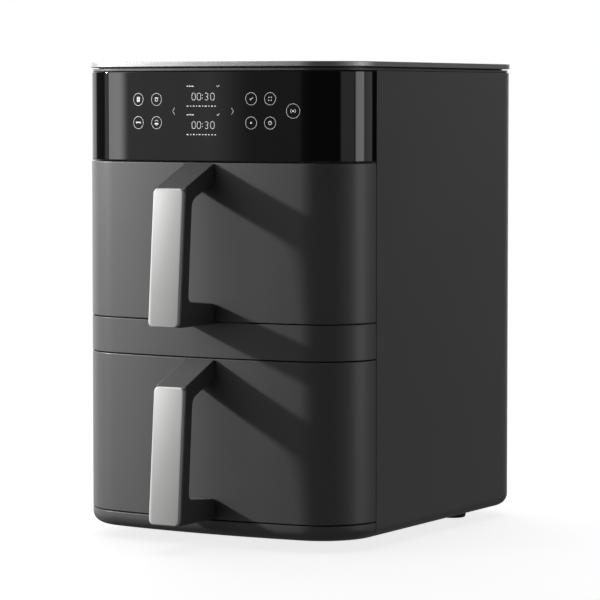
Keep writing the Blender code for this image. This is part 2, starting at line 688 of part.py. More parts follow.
def drawer_handle(zone, drop, slide):
    """The bar handle, its cover plate and the two screws that hold it from behind."""
    top = UPPER_TOP - drop
    depths = HANDLE_DEPTHS
    slope = (HANDLE_OUT - PLATE_OUT_TOP) / (PLATE_BOTTOM - depths["front_top"])
    body_back = PLATE_THICK + GAP

    def front_out(down):
        return PLATE_OUT_TOP + (down - depths["front_top"]) * slope - body_back

    corners = [(GAP, depths["top"], 0), (front_out(depths["front_top"]), depths["front_top"], 0.0020),
               (front_out(depths["bottom"]), depths["bottom"], 0.0030), (GAP, depths["bottom"], 0),
               (GAP, depths["low_top"], 0), (INNER_OUT_LOW, depths["inner_low"], 0.0050),
               (INNER_OUT_TOP, depths["inner_top"], 0.0100), (GAP, depths["under"], 0)]
    outline = rounded_outline([(Y(-out), top - down) for out, down, _ in corners], [r for _, _, r in corners])
    handle = side_extrusion(zone + "_handle", outline, HANDLE_HALF, "handle_plastic", slide)
    head_back = SKIN + GAP
    head_front = SKIN + SCREW_HOLE
    for label, depth in SCREW_DEPTHS:
        bore = turned("%s_%s_bore_cutter" % (zone, label),
                      [(0, 0), (SCREW_BORE, 0), (SCREW_BORE, BORE_LONG), (0, BORE_LONG)],
                      (0, Y(BORE_END), top - depth), None, steps=12)
        cut(handle, bore)
        screw = [(0, SCREW_END), (SCREW_RADIUS, SCREW_END), (SCREW_RADIUS, head_back),
                 (SCREW_HEAD, head_back), (SCREW_HEAD, head_front), (0, head_front)]
        turned("%s_handle_%s_screw" % (zone, label), screw, (0, Y(0), top - depth), "screw_steel", steps=12,
               parent=slide)

    high = depths["front_top"] + PLATE_GAP
    plate = [(front_out(high) + GAP, high), (front_out(high) + body_back, high + 0.0010),
             (HANDLE_OUT, PLATE_BOTTOM), (HANDLE_OUT - PLATE_THICK, PLATE_BOTTOM)]
    radii = [0, PLATE_ROUND, PLATE_ROUND, 0]
    outline = rounded_outline([(Y(-out), top - down) for out, down in plate], radii, 2)
    side_extrusion(zone + "_handle_cover", outline, HANDLE_HALF, "handle_cover", slide)


def drawer_pan(zone, drop, slide):
    """The pan with its lip and rear air gap, the crisper plate and four bumpers under the plate."""
    low = PAN_BOTTOM - drop
    high = PAN_TOP - drop
    lip_z = high - PAN_LIP / 2
    steps = [(0, low), (0, lip_z), (-PAN_LIP, lip_z), (-PAN_LIP, high), (PAN_WALL, high),
             (PAN_WALL, low + PAN_WALL)]
    pan = loft(zone + "_drawer_pan", [pan_outline(inset, z) for inset, z in steps], "pan_coating", slide)
    air_gap = box(zone + "_pan_air_cutter", (-AIR_GAP_HALF, AIR_GAP_HALF), depths_to_y(AIR_GAP_DEPTHS),
                  (low + AIR_GAP_RISE, high + 0.010), None)
    cut(pan, air_gap)
    plate_low = low + PAN_WALL + CRISPER_RISE
    front = PAN_FRONT + CRISPER_MARGIN
    back = PAN_BACK - CRISPER_MARGIN
    columns = [-CRISPER_HALF + 2 * CRISPER_HALF * i / CRISPER_COLUMNS for i in range(CRISPER_COLUMNS + 1)]
    rows = [front + (back - front) * i / CRISPER_ROWS for i in range(CRISPER_ROWS + 1)]
    cell_plate(zone + "_crisper_plate", columns, rows, lambda i, k: i % 2 == 1 and k % 2 == 1,
               lambda u, v: (u, Y(v), plate_low), (0, 0, CRISPER_THICK), "pan_coating", parent=slide)
    tall = CRISPER_RISE - 2 * GAP
    depths = (front + BUMPER_INSET, back - BUMPER_INSET)
    places = [(x, depth) for x in (-BUMPER_X, BUMPER_X) for depth in depths]
    for number, (x, depth) in enumerate(places, 1):
        bumper = [(0, 0), (BUMPER_RADIUS, 0), (BUMPER_RADIUS, tall), (0, tall)]
        turned("%s_plate_bumper_%d" % (zone, number), bumper, (x, Y(depth), low + PAN_WALL + GAP), "silicone",
               axis="Z", steps=12, parent=slide)


def build():
    clear_scene()
    build_shell()
    build_base()
    build_top()
    build_control_panel()
    build_front_structure()
    build_cord_gland()
    for zone, drop in ZONES:
        build_liner(zone, drop)
        build_heater(zone, drop)
        build_switch_and_vent(zone, drop)
        build_fan(zone, drop)
        slide = empty(zone + "_slide", (0, FRONT_Y, (PAN_BOTTOM + PAN_TOP) / 2 - drop))
        drawer_front(zone, drop, slide)
        drawer_handle(zone, drop, slide)
        drawer_pan(zone, drop, slide)
    bpy.context.view_layer.update()


build()
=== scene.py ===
"""The visual model of the two-drawer air fryer, its looks and its studio, over the CAD frame.

Metres, +Z up, the front faces -Y. Plan outlines, heights and handle depths repeat the CAD's own.
"""
import math

import bmesh
import bpy
from mathutils import Matrix, Vector


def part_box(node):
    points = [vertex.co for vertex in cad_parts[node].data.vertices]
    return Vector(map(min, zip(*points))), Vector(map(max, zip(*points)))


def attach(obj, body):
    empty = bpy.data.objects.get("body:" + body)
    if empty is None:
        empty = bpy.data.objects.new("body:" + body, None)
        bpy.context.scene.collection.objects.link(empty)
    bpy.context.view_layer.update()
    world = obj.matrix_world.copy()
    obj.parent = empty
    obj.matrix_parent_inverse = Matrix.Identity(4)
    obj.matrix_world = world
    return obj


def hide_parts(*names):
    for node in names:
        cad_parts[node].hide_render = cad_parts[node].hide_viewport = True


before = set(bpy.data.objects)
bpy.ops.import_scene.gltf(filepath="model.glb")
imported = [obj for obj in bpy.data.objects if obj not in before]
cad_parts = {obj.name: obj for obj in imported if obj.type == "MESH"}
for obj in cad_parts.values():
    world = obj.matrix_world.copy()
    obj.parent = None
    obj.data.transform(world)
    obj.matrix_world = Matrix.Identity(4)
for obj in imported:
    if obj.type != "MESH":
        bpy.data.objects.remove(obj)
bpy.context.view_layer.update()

# Sizes shared with the CAD
WIDTH = 0.280
BODY_DEPTH = 0.345
HEIGHT = 0.4165
HANDLE_OUT = 0.0596
REAR_OUT = 0.004
FRONT_Y = (HANDLE_OUT - BODY_DEPTH - REAR_OUT) / 2
FRONT_BOW = 0.0054
FRONT_RADIUS = 0.053
BACK_RADIUS = 0.046
CORNER_X = WIDTH / 2 - FRONT_RADIUS
BOW_RADIUS = (CORNER_X ** 2 + FRONT_BOW ** 2) / (2 * FRONT_BOW)
SEAM_DEPTH = BOW_RADIUS - math.sqrt((BOW_RADIUS - FRONT_RADIUS) ** 2 - CORNER_X ** 2)
BOW_ANGLE = math.asin(CORNER_X / (BOW_RADIUS - FRONT_RADIUS))
BODY_BOTTOM = 0.0098
BASE_TOP = 0.0239
LOWER_TOP = 0.1631
STRIP_TOP = 0.1944
UPPER_TOP = 0.3308
BODY_TOP = 0.4085
RIM_BOTTOM = 0.4121
ZONE_STEP = UPPER_TOP - LOWER_TOP
GAP = 0.0003
SEAM = 0.0005
SKIN = 0.0025
FRONT_SKIN = 0.0020
FRONT_LIP = 0.020
GLASS_THICK = 0.0030
SHEET = 0.0010
FILLET = 0.0102
RIM_OUT = 0.0007
LEDGE_INSET = 0.0012
LEDGE_TOP = 0.4109
LID_INSET = 0.0063
LID_DROP = 0.0006
PAN_HALF = 0.1155
PAN_FRONT = 0.0310
PAN_BACK = 0.2560
PAN_BOTTOM = 0.2030
PAN_TOP = 0.3180
PAN_LIP = 0.0040
PAN_WALL = 0.0012
PAN_CORNER = 0.025
LINER_BACK = 0.2620
FAN_HEIGHT = 0.2660
ELEMENT_RADIUS = 0.0440
ELEMENT_LEG_X = 0.0080
ELEMENT_LEG_Z = math.sqrt(ELEMENT_RADIUS ** 2 - ELEMENT_LEG_X ** 2)
CORD_X = -0.085
CORD_Z = 0.045
HANDLE_HALF = 0.0150
HANDLE_DEPTHS = {"top": 0.0006, "front_top": 0.0208, "under": 0.0172, "inner_top": 0.0315,
                 "inner_low": 0.1167, "low_top": 0.1207, "bottom": 0.1382}
INNER_OUT_TOP = 0.0358
INNER_OUT_LOW = 0.0422
PLATE_THICK = 0.0030
PLATE_OUT_TOP = 0.0503
PLATE_BOTTOM = 0.1379
PLATE_SLOPE = (HANDLE_OUT - PLATE_OUT_TOP) / (PLATE_BOTTOM - HANDLE_DEPTHS["front_top"])
SCREW_DEPTHS = (("top", 0.0110), ("bottom", 0.1295))
SCREW_HOLE = 0.0025
SCREW_BORE = 0.0021
ZONES = (("upper", 0.0), ("lower", ZONE_STEP))
SHARP_ANGLE = math.radians(32)
# From where to where a cutter goes through a thin plate
THIN_CUT = (-0.001, 0.003)


def Y(depth):
    """Depth behind the front's crest as a world Y."""
    return FRONT_Y + depth


# Materials --------

PRINT_GLOW = 0.20


def new_material(name):
    made = bpy.data.materials.new(name)
    made.use_nodes = True
    return made, made.node_tree, made.node_tree.nodes["Principled BSDF"]


def node(tree, kind, **sockets):
    """A node with its sockets set: a number or tuple is a value, anything else is linked."""
    made = tree.nodes.new(kind)
    for key, value in sockets.items():
        socket = made.inputs[key.replace("_", " ")]
        if isinstance(value, bpy.types.NodeSocket):
            tree.links.new(value, socket)
        else:
            socket.default_value = value
    return made


def blend_colours(tree, share, low, high):
    made = tree.nodes.new("ShaderNodeMix")
    made.data_type = "RGBA"
    tree.links.new(share, made.inputs["Factor"])
    made.inputs["A"].default_value = (*low, 1)
    made.inputs["B"].default_value = (*high, 1)
    return made.outputs["Result"]


def surface(name, low, high, rough, metallic=0.0, grain=900.0, depth=0.00004, mottle=18.0,
            stretch=(1, 1, 1)):
    """A finish whose colour drifts between low and high, with roughness drift and a fine grain."""
    made, tree, shader = new_material(name)
    place = node(tree, "ShaderNodeTexCoord").outputs["Object"]
    spread = node(tree, "ShaderNodeMapping", Vector=place, Scale=stretch).outputs["Vector"]
    broad = node(tree, "ShaderNodeTexNoise", Vector=spread, Scale=mottle, Detail=3.0)
    fine = node(tree, "ShaderNodeTexNoise", Vector=spread, Scale=grain, Detail=2.0)
    tree.links.new(blend_colours(tree, broad.outputs["Fac"], low, high), shader.inputs["Base Color"])
    drift = node(tree, "ShaderNodeMapRange", Value=broad.outputs["Fac"], To_Min=rough[0], To_Max=rough[1])
    tree.links.new(drift.outputs["Result"], shader.inputs["Roughness"])
    if depth:
        bump = node(tree, "ShaderNodeBump", Strength=1.0, Distance=depth, Height=fine.outputs["Fac"])
        tree.links.new(bump.outputs["Normal"], shader.inputs["Normal"])
    shader.inputs["Metallic"].default_value = metallic
    return made


def overlay(made, share, colour):
    """Lays a second colour over a finish's own, by share."""
    tree = made.node_tree
    base = tree.nodes["Principled BSDF"].inputs["Base Color"]
    mix = tree.nodes.new("ShaderNodeMix")
    mix.data_type = "RGBA"
    tree.links.new(share, mix.inputs["Factor"])
    tree.links.new(base.links[0].from_socket, mix.inputs["A"])
    mix.inputs["B"].default_value = (*colour, 1)
    tree.links.new(mix.outputs["Result"], base)
    return made


def coating():
    """Dark non-stick coating with fine pale flecks."""
    made = surface("pan_coating", (0.022, 0.022, 0.023), (0.034, 0.034, 0.035), (0.30, 0.42), grain=1400.0,
                   depth=0.00003)
    tree = made.node_tree
    place = node(tree, "ShaderNodeTexCoord").outputs["Object"]
    flecks = node(tree, "ShaderNodeTexVoronoi", Vector=place, Scale=520.0)
    share = node(tree, "ShaderNodeMapRange", Value=flecks.outputs["Distance"], From_Min=0.10, From_Max=0.18,
                 To_Min=0.55, To_Max=0.0)
    return overlay(made, share.outputs["Result"], (0.16, 0.16, 0.165))


def board():
    """Green board with paler tracks."""
    made = surface("circuit_board", (0.010, 0.085, 0.035), (0.016, 0.125, 0.050), (0.35, 0.45), grain=700.0,
                   depth=0.00002)
    tree = made.node_tree
    place = node(tree, "ShaderNodeTexCoord").outputs["Object"]
    tracks = node(tree, "ShaderNodeTexBrick", Vector=place, Scale=180.0, Mortar_Size=0.035,
                  Color1=(0, 0, 0, 1), Color2=(0, 0, 0, 1), Mortar=(1, 1, 1, 1))
    return overlay(made, tracks.outputs["Color"], (0.030, 0.210, 0.090))


def lit_print():
    """White print lit from behind, slightly uneven."""
    made = surface("panel_print", (0.62, 0.63, 0.64), (0.76, 0.77, 0.78), (0.5, 0.6), depth=0, mottle=400.0)
    shader = made.node_tree.nodes["Principled BSDF"]
    base = shader.inputs["Base Color"].links[0].from_socket
    made.node_tree.links.new(base, shader.inputs["Emission Color"])
    shader.inputs["Emission Strength"].default_value = PRINT_GLOW
    return made


FINISHES = {
    "body_plastic": surface("body_plastic", (0.0530, 0.0530, 0.0535), (0.0600, 0.0600, 0.0605), (0.34, 0.41),
                            grain=1500.0, depth=0.000028, mottle=9.0),
    "inner_plastic": surface("inner_plastic", (0.017, 0.017, 0.018), (0.024, 0.024, 0.025), (0.50, 0.62),
                             grain=1100.0, depth=0.00004),
    "handle_plastic": surface("handle_plastic", (0.040, 0.040, 0.0405), (0.046, 0.046, 0.0465), (0.30, 0.38),
                              grain=1500.0, depth=0.00002),
    "panel_glass": surface("panel_glass", (0.0022, 0.0022, 0.0024), (0.0032, 0.0032, 0.0034), (0.015, 0.045),
                           depth=0, mottle=30.0),
    "trim_metal": surface("trim_metal", (0.33, 0.33, 0.33), (0.41, 0.41, 0.41), (0.34, 0.42), 0.8,
                          grain=500.0, depth=0.00002, mottle=60.0, stretch=(1, 1, 30)),
    "handle_cover": surface("handle_cover", (0.360, 0.360, 0.354), (0.395, 0.395, 0.389), (0.52, 0.62), 0.10,
                            grain=1800.0, depth=0.000015, mottle=14.0),
    "sheet_steel": surface("sheet_steel", (0.46, 0.46, 0.455), (0.58, 0.58, 0.575), (0.26, 0.40), 1.0,
                           grain=420.0, depth=0.00003, mottle=45.0, stretch=(1, 1, 6)),
    "pan_coating": coating(),
    "heater_steel": surface("heater_steel", (0.10, 0.085, 0.075), (0.24, 0.20, 0.165), (0.32, 0.48), 0.9,
                            grain=600.0, depth=0.00004, mottle=60.0),
    "motor_steel": surface("motor_steel", (0.34, 0.34, 0.335), (0.44, 0.44, 0.435), (0.34, 0.46), 1.0,
                           grain=520.0, depth=0.00004, mottle=40.0),
    "circuit_board": board(),
    "display_module": surface("display_module", (0.012, 0.012, 0.013), (0.018, 0.018, 0.019), (0.20, 0.30),
                              depth=0.00001),
    "switch_plastic": surface("switch_plastic", (0.020, 0.020, 0.020), (0.030, 0.030, 0.030), (0.45, 0.55),
                              depth=0.00003),
    "screw_steel": surface("screw_steel", (0.42, 0.42, 0.42), (0.52, 0.52, 0.52), (0.24, 0.34), 1.0,
                           grain=800.0, depth=0.00002),
    "rubber": surface("rubber", (0.012, 0.012, 0.012), (0.018, 0.018, 0.018), (0.70, 0.85), grain=800.0,
                      depth=0.00006),
    "silicone": surface("silicone", (0.030, 0.030, 0.030), (0.040, 0.040, 0.040), (0.62, 0.74), grain=700.0,
                        depth=0.00005),
}
PRINT = lit_print()


# Shape helpers --------

def build(name, mesh_data, slot, body, stands_for=(), bevel=0.0, segments=2, look=None):
    """Turn a bmesh into a finished piece that rides on a body."""
    bmesh.ops.remove_doubles(mesh_data, verts=mesh_data.verts, dist=1e-7)
    bmesh.ops.recalc_face_normals(mesh_data, faces=mesh_data.faces)
    mesh = bpy.data.meshes.new(name)
    mesh_data.to_mesh(mesh)
    mesh_data.free()
    made = bpy.data.objects.new(name, mesh)
    bpy.context.scene.collection.objects.link(made)
    mesh.materials.append(look or FINISHES[slot])
    dress(made, bevel, segments)
    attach(made, body)
    if stands_for:
        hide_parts(*stands_for)
    return made


def dress(made, bevel, segments):
    """Smooth shading with soft edges where faces meet at more than the sharp angle."""
    made.data.shade_smooth()
    made.data.set_sharp_from_angle(angle=SHARP_ANGLE)
    if bevel:
        step = made.modifiers.new("edges", "BEVEL")
        step.width = bevel
        step.segments = segments
        step.limit_method = "ANGLE"
        step.angle_limit = SHARP_ANGLE
        step.use_clamp_overlap = True
        step.harden_normals = True


def carve(mesh_data, cutters):
    """The bmesh with closed cutter meshes removed from it."""
    bmesh.ops.recalc_face_normals(mesh_data, faces=mesh_data.faces)
    target = bpy.data.objects.new("target", bpy.data.meshes.new("target"))
    mesh_data.to_mesh(target.data)
    mesh_data.free()
    bpy.context.scene.collection.objects.link(target)
    holes = bmesh.new()
    for cutter in cutters:
        bmesh.ops.recalc_face_normals(cutter, faces=cutter.faces)
        part = bpy.data.meshes.new("part")
        cutter.to_mesh(part)
        cutter.free()
        holes.from_mesh(part)
        bpy.data.meshes.remove(part)
    tool = bpy.data.objects.new("tool", bpy.data.meshes.new("tool"))
    holes.to_mesh(tool.data)
    holes.free()
    bpy.context.scene.collection.objects.link(tool)
    step = target.modifiers.new("holes", "BOOLEAN")
    step.solver = "EXACT"
    step.object = tool
    bpy.context.view_layer.update()
    result = bmesh.new()
    result.from_object(target, bpy.context.evaluated_depsgraph_get())
    bpy.data.objects.remove(target)
    bpy.data.objects.remove(tool)
    return result


def arc(centre_x, centre_y, radius, start, end, steps):
    points = []
    for i in range(steps + 1):
        angle = start + (end - start) * i / steps
        points.append((centre_x + radius * math.cos(angle), centre_y + radius * math.sin(angle)))
    return points


def front_path(offset):
    """The front outline from the left seam to the right seam, moved outwards by offset."""
    down = -math.pi / 2
    slack = SEAM / FRONT_RADIUS
    radius = FRONT_RADIUS + offset
    left = arc(-CORNER_X, Y(SEAM_DEPTH), radius, -math.pi + slack, down - BOW_ANGLE, 30)
    bow = arc(0, Y(BOW_RADIUS), BOW_RADIUS + offset, down - BOW_ANGLE, down + BOW_ANGLE, 32)
    right = arc(CORNER_X, Y(SEAM_DEPTH), radius, down + BOW_ANGLE, -slack, 30)
    return left + bow[1:-1] + right


def rear_path(offset):
    """The side and back outline from the right seam round to the left seam."""
    half = WIDTH / 2 + offset
    centre_x = WIDTH / 2 - BACK_RADIUS
    centre_y = Y(BODY_DEPTH - BACK_RADIUS)
    radius = BACK_RADIUS + offset
    right = arc(centre_x, centre_y, radius, 0, math.pi / 2, 28)
    left = arc(-centre_x, centre_y, radius, math.pi / 2, math.pi, 28)
    start_y = Y(SEAM_DEPTH + GAP)
    return [(half, start_y)] + right + left + [(-half, start_y)]


def whole_path(offset):
    return front_path(offset) + rear_path(offset)[1:-1]


def front_point(x, z, lift):
    """The world point at x and z on the front face, lifted outwards."""
    bow_limit = BOW_RADIUS * math.sin(BOW_ANGLE)
    if abs(x) <= bow_limit:
        outward = Vector((x, -math.sqrt(BOW_RADIUS ** 2 - x ** 2), 0)).normalized()
        spot = Vector((0, Y(BOW_RADIUS), z)) + outward * BOW_RADIUS
    else:
        across = abs(x) - CORNER_X
        ahead = math.sqrt(FRONT_RADIUS ** 2 - across ** 2)
        outward = Vector((math.copysign(across, x), -ahead, 0)).normalized()
        spot = Vector((math.copysign(CORNER_X, x), Y(SEAM_DEPTH), z)) + outward * FRONT_RADIUS
    return spot + outward * lift


def skin(made, rings, around=True, loop=False):
    """Faces from each ring of vertices to the next; loop joins the last ring to the first."""
    pairs = list(zip(rings, rings[1:]))
    if loop:
        pairs.append((rings[-1], rings[0]))
    for near, far in pairs:
        count = len(near)
        for i in range(count if around else count - 1):
            j = (i + 1) % count
            made.faces.new((near[i], near[j], far[j], far[i]))


def sweep(path, profile, closed=False):
    """A closed (offset, z) profile swept along a plan path."""
    made = bmesh.new()
    rings = [[made.verts.new((x, y, z)) for x, y in path(offset)] for offset, z in profile]
    skin(made, rings, around=closed, loop=True)
    if not closed:
        made.faces.new([ring[0] for ring in rings])
        made.faces.new([ring[-1] for ring in rings])
    return made


def loft(loops):
    """Closed loops joined in order, with the first and the last capped."""
    made = bmesh.new()
    rings = [[made.verts.new(point) for point in loop] for loop in loops]
    skin(made, rings)
    made.faces.new(rings[0])
    made.faces.new(rings[-1])
    return made


def at_height(points, z):
    return [(x, y, z) for x, y in points]


def block(x_span, y_span, z_span):
    left, right = x_span
    front, back = y_span
    corners = [(left, front), (right, front), (right, back), (left, back)]
    return loft([at_height(corners, z) for z in z_span])


def turned(profile, centre, axis="Y", steps=48, ring=False):
    """An (radius, distance) profile turned about an axis through centre; ring closes the profile."""
    made = bmesh.new()
    rows = []
    for radius, distance in profile:
        row = []
        for i in range(steps if radius > 0 else 1):
            angle = 2 * math.pi * i / steps
            across = radius * math.cos(angle)
            up = radius * math.sin(angle)
            point = (across, distance, up) if axis == "Y" else (across, up, distance)
            row.append(made.verts.new(Vector(centre) + Vector(point)))
        rows.append(row)
    pairs = list(zip(rows, rows[1:]))
    if ring:
        pairs.append((rows[-1], rows[0]))
    for near, far in pairs:
        if len(near) == len(far) == 1:
            continue
        for i in range(steps):
            j = (i + 1) % steps
            corners = [near[i % len(near)], near[j % len(near)], far[j % len(far)], far[i % len(far)]]
            made.faces.new(list(dict.fromkeys(corners)))
    return made


def rod(radius, long, start, steps=48):
    """A cylinder that runs backwards from start, to cut a round hole with."""
    return turned([(0, 0), (radius, 0), (radius, long), (0, long)], start, steps=steps)


def rounded_outline(corners, radii, steps=10):
    """A polygon whose corners are replaced by arcs of the given radii."""
    points = []
    count = len(corners)
    for i in range(count):
        here = Vector(corners[i])
        back = (Vector(corners[i - 1]) - here).normalized()
        ahead = (Vector(corners[(i + 1) % count]) - here).normalized()
        radius = radii[i]
        if radius == 0:
            points.append(tuple(here))
            continue
        half = back.angle(ahead) / 2
        centre = here + (back + ahead).normalized() * (radius / math.sin(half))
        start = here + back * (radius / math.tan(half)) - centre
        turn = start.angle_signed(here + ahead * (radius / math.tan(half)) - centre)
        for k in range(steps + 1):
            spoke = start.copy()
            spoke.rotate(Matrix.Rotation(-turn * k / steps, 2))
            points.append(tuple(centre + spoke))
    return points


def rounded_rectangle(half_x, half_y, radius, steps=8):
    corners = [(-half_x, -half_y), (half_x, -half_y), (half_x, half_y), (-half_x, half_y)]
    return rounded_outline(corners, [radius] * 4, steps)


def tube(points, radius, sides):
    """A round bar along a list of points, with flat ends."""
    spots = [Vector(point) for point in points]
    turns = [2 * math.pi * k / sides for k in range(sides)]
    loops = []
    side = None
    for i, spot in enumerate(spots):
        ahead = (spots[min(i + 1, len(spots) - 1)] - spots[max(i - 1, 0)]).normalized()
        if side is None:
            side = ahead.orthogonal().normalized()
        side = (side - ahead * side.dot(ahead)).normalized()
        other = ahead.cross(side)
        loops.append([spot + side * (radius * math.cos(turn)) + other * (radius * math.sin(turn))
                      for turn in turns])
    return loft(loops)


def joined(parts):
    """Several bmeshes as one."""
    made = bmesh.new()
    for part in parts:
        bmesh.ops.recalc_face_normals(part, faces=part.faces)
        mesh = bpy.data.meshes.new("part")
        part.to_mesh(mesh)
        part.free()
        made.from_mesh(mesh)
        bpy.data.meshes.remove(mesh)
    return made


def keep(names, slot, bevel):
    """CAD nodes that stay, with soft edges and a finish."""
    for name in names:
        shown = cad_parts[name]
        for place in shown.material_slots:
            place.material = FINISHES[slot]
        dress(shown, bevel, segments=2)


# Housing --------

FILLET_STEPS = 12
# Rounded rectangles: half width, half height, corner radius
VENT_HOLE = (0.055, 0.036, 0.006)
VENT_OUTER = (0.060, 0.041, 0.008)
VENT_INNER = (0.0525, 0.033, 0.004)
SLATS = 8
SLAT_PITCH = 0.0082
SLAT_FIRST = 0.0290
SLAT_HALF = 0.0530
# A slat's corners: how far in front of the grille's near and far faces, and how far up
SLAT_NEAR = ((0.0015, -0.0030), (0.0003, -0.0034))
SLAT_FAR = ((0.0004, 0.0010), (0.0012, 0.0018))
BAR_PLACES = (-0.0175, 0.0175)
BAR_HALF = 0.0012
BAR_TALL = 0.0334
# How far the bars stay in front of the grille's near and far faces
BAR_INSETS = (0.0008, 0.0016)
REAR_CUT = 0.330
REAR_CUT_LONG = 0.030
CORD_HOLE = 0.0075
# (radius, depth)
GLAND_PROFILE = ((0.0036, 0.3380), (0.0070, 0.3380), (0.0070, BODY_DEPTH + GAP), (0.0092, BODY_DEPTH + GAP),
                 (0.0100, BODY_DEPTH + 0.0009), (0.0100, 0.3476), (0.0092, 0.3485), (0.0062, 0.3485),
                 (0.0054, 0.3478), (0.0036, 0.3478))
# A foot's sole: (inset from its rim, height), over a shallow hollow in the middle
FOOT_HOLLOW = 0.0009
FOOT_SOLE = ((0.0048, FOOT_HOLLOW), (0.0042, 0), (0.0016, 0), (0.0007, 0.0004), (0.0003, 0.0014),
             (0, 0.0024))
FOOT_EASE = 0.0004
TONGUE_DEPTH = 0.045
TONGUE_HALF = 0.001


def fillet_profile(top):
    """A wall whose foot curves inwards to the underside."""
    outer = []
    inner = []
    reach = FILLET - SKIN
    for i in range(FILLET_STEPS + 1):
        angle = math.pi / 2 * i / FILLET_STEPS
        outer.append((-FILLET * (1 - math.cos(angle)), BODY_BOTTOM + FILLET * (1 - math.sin(angle))))
        inner.append((-FILLET + reach * math.cos(angle), BODY_BOTTOM + FILLET - reach * math.sin(angle)))
    return [(0, top)] + outer + list(reversed(inner)) + [(-SKIN, top)]


def make_shell():
    cutters = []
    for _, drop in ZONES:
        middle = FAN_HEIGHT - drop
        outline = rounded_rectangle(*VENT_HOLE)
        cutters.append(loft([[(x, Y(depth), middle + z) for x, z in outline]
                             for depth in (REAR_CUT, REAR_CUT + REAR_CUT_LONG)]))
    cutters.append(rod(CORD_HOLE, REAR_CUT_LONG, (CORD_X, Y(REAR_CUT), CORD_Z)))
    shell = carve(sweep(rear_path, fillet_profile(BODY_TOP)), cutters)
    build("shell", shell, "body_plastic", "housing", ["outer_shell"], bevel=0.0004, segments=3)


def make_base():
    band = sweep(front_path, fillet_profile(BASE_TOP - SEAM))
    build("front_base_band", band, "body_plastic", "housing", ["base_front_band"], bevel=0.0004, segments=3)
    top = BODY_BOTTOM - GAP
    for name in ("front_left_foot", "front_right_foot", "rear_left_foot", "rear_right_foot"):
        low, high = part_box(name)
        centre = ((low.x + high.x) / 2, (low.y + high.y) / 2, 0)
        radius = (high.x - low.x) / 2
        profile = [(0, FOOT_HOLLOW)] + [(radius - inset, z) for inset, z in FOOT_SOLE]
        profile += [(radius, top - FOOT_EASE), (radius - FOOT_EASE, top), (0, top)]
        build(name + "_pad", turned(profile, centre, "Z", 64), "rubber", "housing", [name])


def make_top():
    low = BODY_TOP + GAP
    lid_top = HEIGHT - LID_DROP
    steps = [(-LID_INSET, lid_top), (-LID_INSET, LEDGE_TOP), (-LEDGE_INSET, LEDGE_TOP), (-LEDGE_INSET, low),
             (-LID_INSET - SKIN, low), (-LID_INSET - SKIN, lid_top - SKIN)]
    lid = loft([at_height(whole_path(offset), z) for offset, z in steps])
    build("lid", lid, "body_plastic", "housing", ["top_cover"], bevel=0.0003)
    inner = -LID_INSET + GAP
    rim = [(RIM_OUT, RIM_BOTTOM), (RIM_OUT, HEIGHT), (inner, HEIGHT), (inner, RIM_BOTTOM)]
    build("rim", sweep(whole_path, rim, closed=True), "trim_metal", "housing", ["top_trim_ring"],
          bevel=0.0007, segments=4)


def make_panel():
    low = UPPER_TOP + SEAM
    glass = [(0, low), (0, BODY_TOP), (-GLASS_THICK, BODY_TOP), (-GLASS_THICK, low)]
    build("panel", sweep(front_path, glass), "panel_glass", "housing", ["control_glass"], bevel=0.0010,
          segments=4)


def make_strip():
    low = LOWER_TOP + SEAM
    high = STRIP_TOP - SEAM
    tongue_low = (low + high) / 2 - TONGUE_HALF
    tongue_high = (low + high) / 2 + TONGUE_HALF
    profile = [(0, low), (0, high), (-SKIN, high), (-SKIN, tongue_high), (-TONGUE_DEPTH, tongue_high),
               (-TONGUE_DEPTH, tongue_low), (-SKIN, tongue_low), (-SKIN, low)]
    build("divider", sweep(front_path, profile), "body_plastic", "housing", ["middle_strip"], bevel=0.0004,
          segments=3)


def make_vent(zone, drop):
    """A grille frame with slanted slats, set on the back of the shell."""
    middle = FAN_HEIGHT - drop
    outer = rounded_rectangle(*VENT_OUTER)
    inner = rounded_rectangle(*VENT_INNER)
    near = BODY_DEPTH + GAP
    far = BODY_DEPTH + REAR_OUT
    frame_ring = bmesh.new()
    rings = []
    for outline, depth in ((outer, near), (outer, far), (inner, far), (inner, near)):
        rings.append([frame_ring.verts.new((x, Y(depth), middle + z)) for x, z in outline])
    skin(frame_ring, rings, loop=True)
    parts = [frame_ring]
    for step in range(SLATS):
        z = middle - SLAT_FIRST + step * SLAT_PITCH
        section = [(near - out, z + up) for out, up in SLAT_NEAR]
        section += [(far - out, z + up) for out, up in SLAT_FAR]
        parts.append(loft([[(x, Y(depth), up) for depth, up in section] for x in (-SLAT_HALF, SLAT_HALF)]))
    bar_depths = (Y(near - BAR_INSETS[0]), Y(far - BAR_INSETS[1]))
    for x in BAR_PLACES:
        parts.append(block((x - BAR_HALF, x + BAR_HALF), bar_depths, (middle - BAR_TALL, middle + BAR_TALL)))
    build(zone + "_vent_grille", joined(parts), "inner_plastic", "housing", [zone + "_rear_vent"],
          bevel=0.0003)


def make_gland():
    gland = turned([(r, Y(d)) for r, d in GLAND_PROFILE], (CORD_X, 0, CORD_Z), ring=True)
    build("gland", gland, "rubber", "housing", ["cord_gland"], bevel=0.0002)


# Control panel print --------

PRINT_LIFT = 0.00003
PRINT_TOP = 0.00012
MITRE_LIMIT = 0.4
LINE = 0.00036
KEY_LINE = 0.00027
LEFT_KEYS = (-0.0645, -0.0449)
LEFT_ROWS = (0.3843, 0.3643)
LEFT_RADIUS = 0.0053
RIGHT_KEYS = (0.0500, 0.0678)
RIGHT_ROWS = (0.3848, 0.3644)
RIGHT_RADIUS = 0.0052
START_KEY = (0.0889, 0.3745)
START_RADIUS = 0.0061
ARROW_Z = 0.3743
